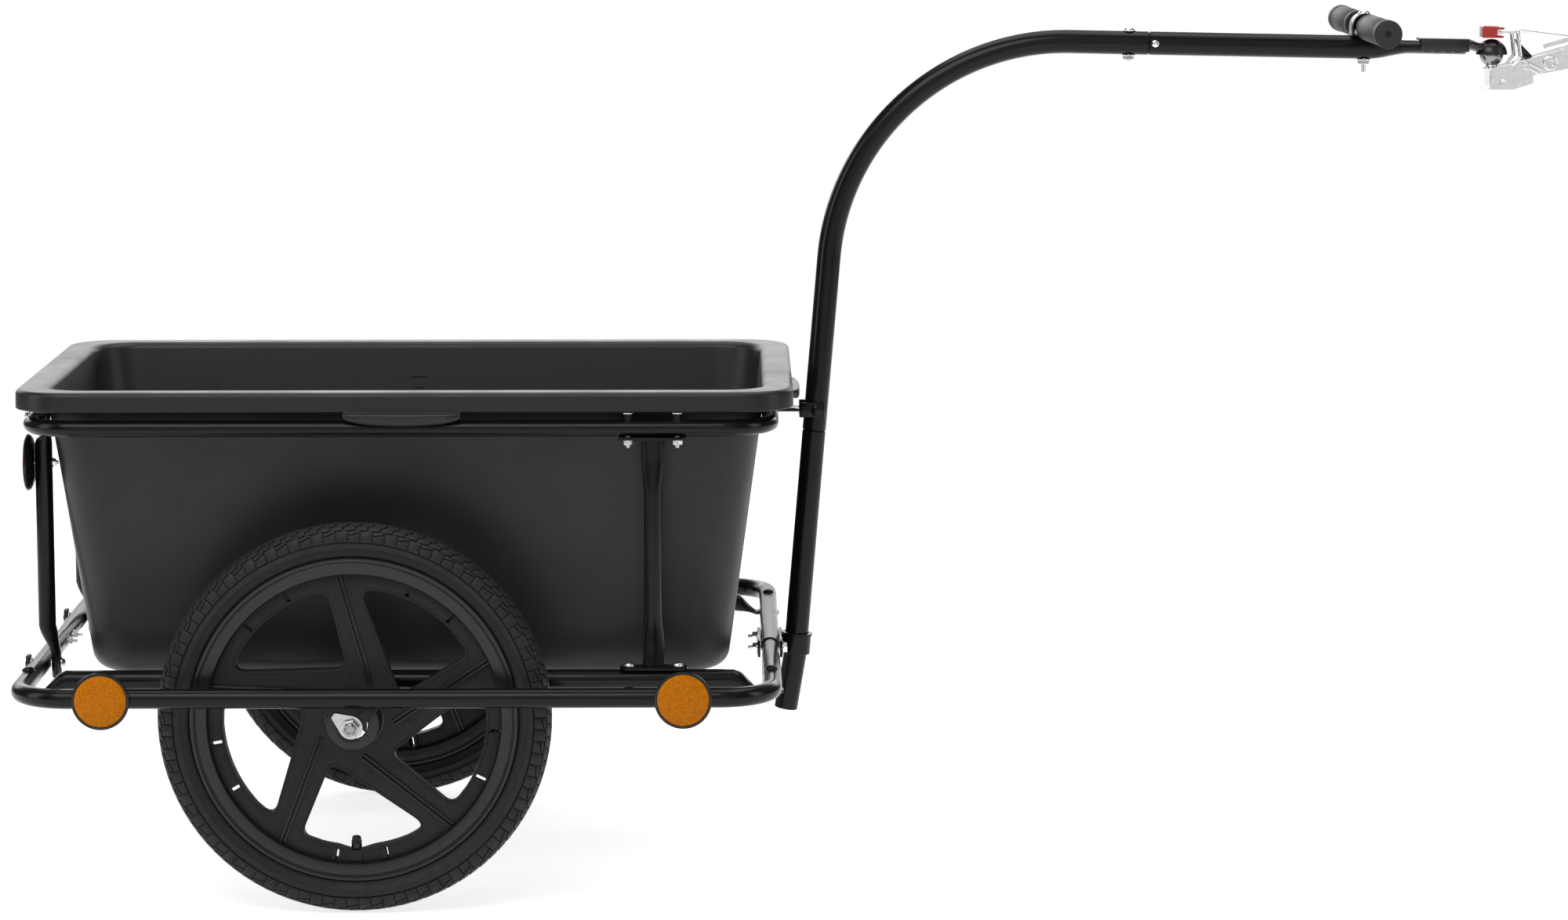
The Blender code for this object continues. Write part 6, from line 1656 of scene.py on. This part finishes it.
class TRAILER_OT_latch(PieceOperator, bpy.types.Operator):
    """Makes the wire latch frame with its lever and red grip"""

    bl_idname = "trailer.latch"
    bl_label = "Latch"

    def make(self):
        arm = 0.0206
        half = [
            (0.0197, 0.0153, -0.0092), (0.0197, arm, -0.0092), (0.0272, arm, -0.0017),
            (0.0239, arm, 0.0255),
        ]
        corners = [near_ball(x, -y, z) for x, y, z in half] + [near_ball(*at) for at in half[::-1]]
        wire = sweep(rounded(corners, 0.0026, 5), 0.0021, FORWARD, 20)
        lever = ball_box((-0.002, -0.005, 0.0223), (0.0239, 0.005, 0.0253), 0.0006)
        piece("latch_frame", join(wire, lever), "latch_bail", "bright_zinc", "latch", 50)
        outline = [
            (-0.0113, 0.0180), (-0.0113, 0.0303), (0.0115, 0.0290), (0.0115, 0.0268), (0.0040, 0.0266),
            (0.0040, 0.0210), (0.0110, 0.0200), (0.0110, 0.0180),
        ]
        shapes = [ball_plate(outline, -0.011, 0.011, 0.0011, 4, 0.0008)]
        for k in range(5):
            x, z = -0.0085 + 0.0032 * k, 0.0302 - 0.00006 * k
            shapes.append(ball_box((x, -0.0095, z - 0.001), (x + 0.0012, 0.0095, z + 0.0003), 0.0002))
        piece("grip_cap", join(*shapes), "latch_grip", "red_plastic", "latch", 20)


# Studio


class TRAILER_OT_studio(PieceOperator, bpy.types.Operator):
    """Sets the floor, the soft lights, the world and the camera"""

    bl_idname = "trailer.studio"
    bl_label = "Studio"

    def make(self):
        scene = bpy.context.scene
        scene.view_settings.view_transform = "Standard"
        self.floor()
        self.world(scene)
        for name, place, target, size, power in (
            ("key_light", (-1.2, -2.6, 3.4), (0.0, 0.0, 0.4), (3.0, 2.0), 62),
            ("top_light", (0.2, 0.6, 3.8), (0.0, 0.0, 0.3), (3.6, 2.4), 55),
            ("side_light", (3.4, -1.2, 1.6), (0.3, 0.0, 0.5), (1.2, 2.6), 26),
            ("left_light", (-3.4, -1.0, 1.5), (-0.4, 0.0, 0.4), (1.2, 2.6), 24),
            ("back_light", (-0.5, 3.6, 1.8), (0.0, 0.0, 0.5), (7.2, 1.3), 68),
        ):
            self.lamp(name, place, target, size, power)
        data = bpy.data.cameras.new("photo_camera")
        data.lens = 107.1
        data.sensor_width = 36
        camera = bpy.data.objects.new("photo_camera", data)
        camera.location = Vector((0.382, -4.942, 1.117)) + SHIFT
        camera.rotation_euler = (math.radians(82), 0, math.radians(-0.655))
        scene.collection.objects.link(camera)
        scene.camera = camera

    def lamp(self, name, place, target, size, power):
        data = bpy.data.lights.new(name, "AREA")
        data.shape = "RECTANGLE"
        data.size, data.size_y = size
        data.energy = power
        item = bpy.data.objects.new(name, data)
        item.location = place
        item.rotation_euler = (Vector(target) - Vector(place)).to_track_quat("-Z", "Y").to_euler()
        bpy.context.scene.collection.objects.link(item)

    def maths(self, tree, operation, *values):
        """A Math node of linked or plain values."""
        node = shader_node(tree, "Math", operation=operation)
        for slot, value in zip(node.inputs, values):
            if isinstance(value, float):
                slot.default_value = value
            else:
                tree.links.new(value, slot)
        return node.outputs[0]

    def seen(self, tree, glossy):
        """1 for rays from the camera or through glass, and for mirrored ones where asked."""
        path = shader_node(tree, "LightPath").outputs
        both = self.maths(tree, "MAXIMUM", path["Is Camera Ray"], path["Is Transmission Ray"])
        return self.maths(tree, "MAXIMUM", both, path["Is Glossy Ray"]) if glossy else both

    def floor(self):
        look = bpy.data.materials.new("pale_floor")
        look.use_nodes = True
        tree = look.node_tree
        shader = tree.nodes["Principled BSDF"].inputs
        shader["Base Color"].default_value = (0.66, 0.66, 0.66, 1)
        shader["Roughness"].default_value = 0.9
        shader["Specular IOR Level"].default_value = 0.1
        shader["Emission Color"].default_value = (1, 1, 1, 1)
        glow = self.maths(tree, "MULTIPLY", self.seen(tree, True), 0.78)
        tree.links.new(glow, shader["Emission Strength"])
        shape = bmesh.new()
        shape.faces.new([shape.verts.new((x, y, 0)) for x, y in circle(3.4, 96)])
        item = linked("studio_floor", shape, look)

    def world(self, scene):
        world = bpy.data.worlds.new("studio_world")
        world.use_nodes = True
        tree = world.node_tree
        place = shader_node(tree, "TexCoord").outputs["Generated"]
        split = shader_node(tree, "SeparateXYZ", Vector=place).outputs
        front = ranged(tree, split["Y"], (-0.7, 0.1), (0.63, 1.0))
        aside = self.maths(tree, "ABSOLUTE", split["X"])
        flanks = ranged(tree, aside, (0.28, 0.65), (1.0, 0.10))
        level = self.maths(tree, "MULTIPLY", front, flanks)
        above = ranged(tree, split["Z"], (0.35, 0.75), (1.0, 0.30))
        level = self.maths(tree, "MULTIPLY", level, above)
        path = shader_node(tree, "LightPath").outputs
        gloss = self.maths(tree, "MULTIPLY_ADD", path["Is Glossy Ray"], 0.5, 0.5)
        dim = self.maths(tree, "MULTIPLY", level, gloss)
        back = tree.nodes["Background"].inputs
        back["Color"].default_value = (1, 1, 1, 1)
        tree.links.new(self.maths(tree, "MAXIMUM", dim, self.seen(tree, False)), back["Strength"])
        scene.world = world


OPERATORS = (
    TRAILER_OT_studio, TRAILER_OT_tub, TRAILER_OT_hoop, TRAILER_OT_frame, TRAILER_OT_legs,
    TRAILER_OT_reflectors, TRAILER_OT_wheels, TRAILER_OT_axles, TRAILER_OT_clamp,
    TRAILER_OT_drawbar, TRAILER_OT_handle, TRAILER_OT_coupling, TRAILER_OT_bracket,
    TRAILER_OT_latch,
)


class TRAILER_PT_sidebar(bpy.types.Panel):
    """Lists the trailer's finishes, sizes and pieces"""

    bl_idname = "TRAILER_PT_sidebar"
    bl_label = "Bicycle trailer"
    bl_space_type = "VIEW_3D"
    bl_region_type = "UI"
    bl_category = "Trailer"

    def draw(self, context):
        layout = self.layout
        for group in (finishes(), sizes()):
            column = layout.box().column()
            for name in group.bl_rna.properties.keys():
                if name not in ("rna_type", "name"):
                    column.prop(group, name)
        for operator in OPERATORS:
            layout.operator(operator.bl_idname)


CLASSES = (TrailerFinishes, TrailerSizes) + OPERATORS + (TRAILER_PT_sidebar,)


def register():
    for cls in CLASSES:
        bpy.utils.register_class(cls)
    bpy.types.Scene.trailer_finishes = PointerProperty(type=TrailerFinishes)
    bpy.types.Scene.trailer_sizes = PointerProperty(type=TrailerSizes)


def unregister():
    del bpy.types.Scene.trailer_sizes
    del bpy.types.Scene.trailer_finishes
    for cls in reversed(CLASSES):
        bpy.utils.unregister_class(cls)


def main():
    register()
    for operator in OPERATORS:
        group, name = operator.bl_idname.split(".")
        getattr(getattr(bpy.ops, group), name)()


if __name__ == "__main__":
    main()
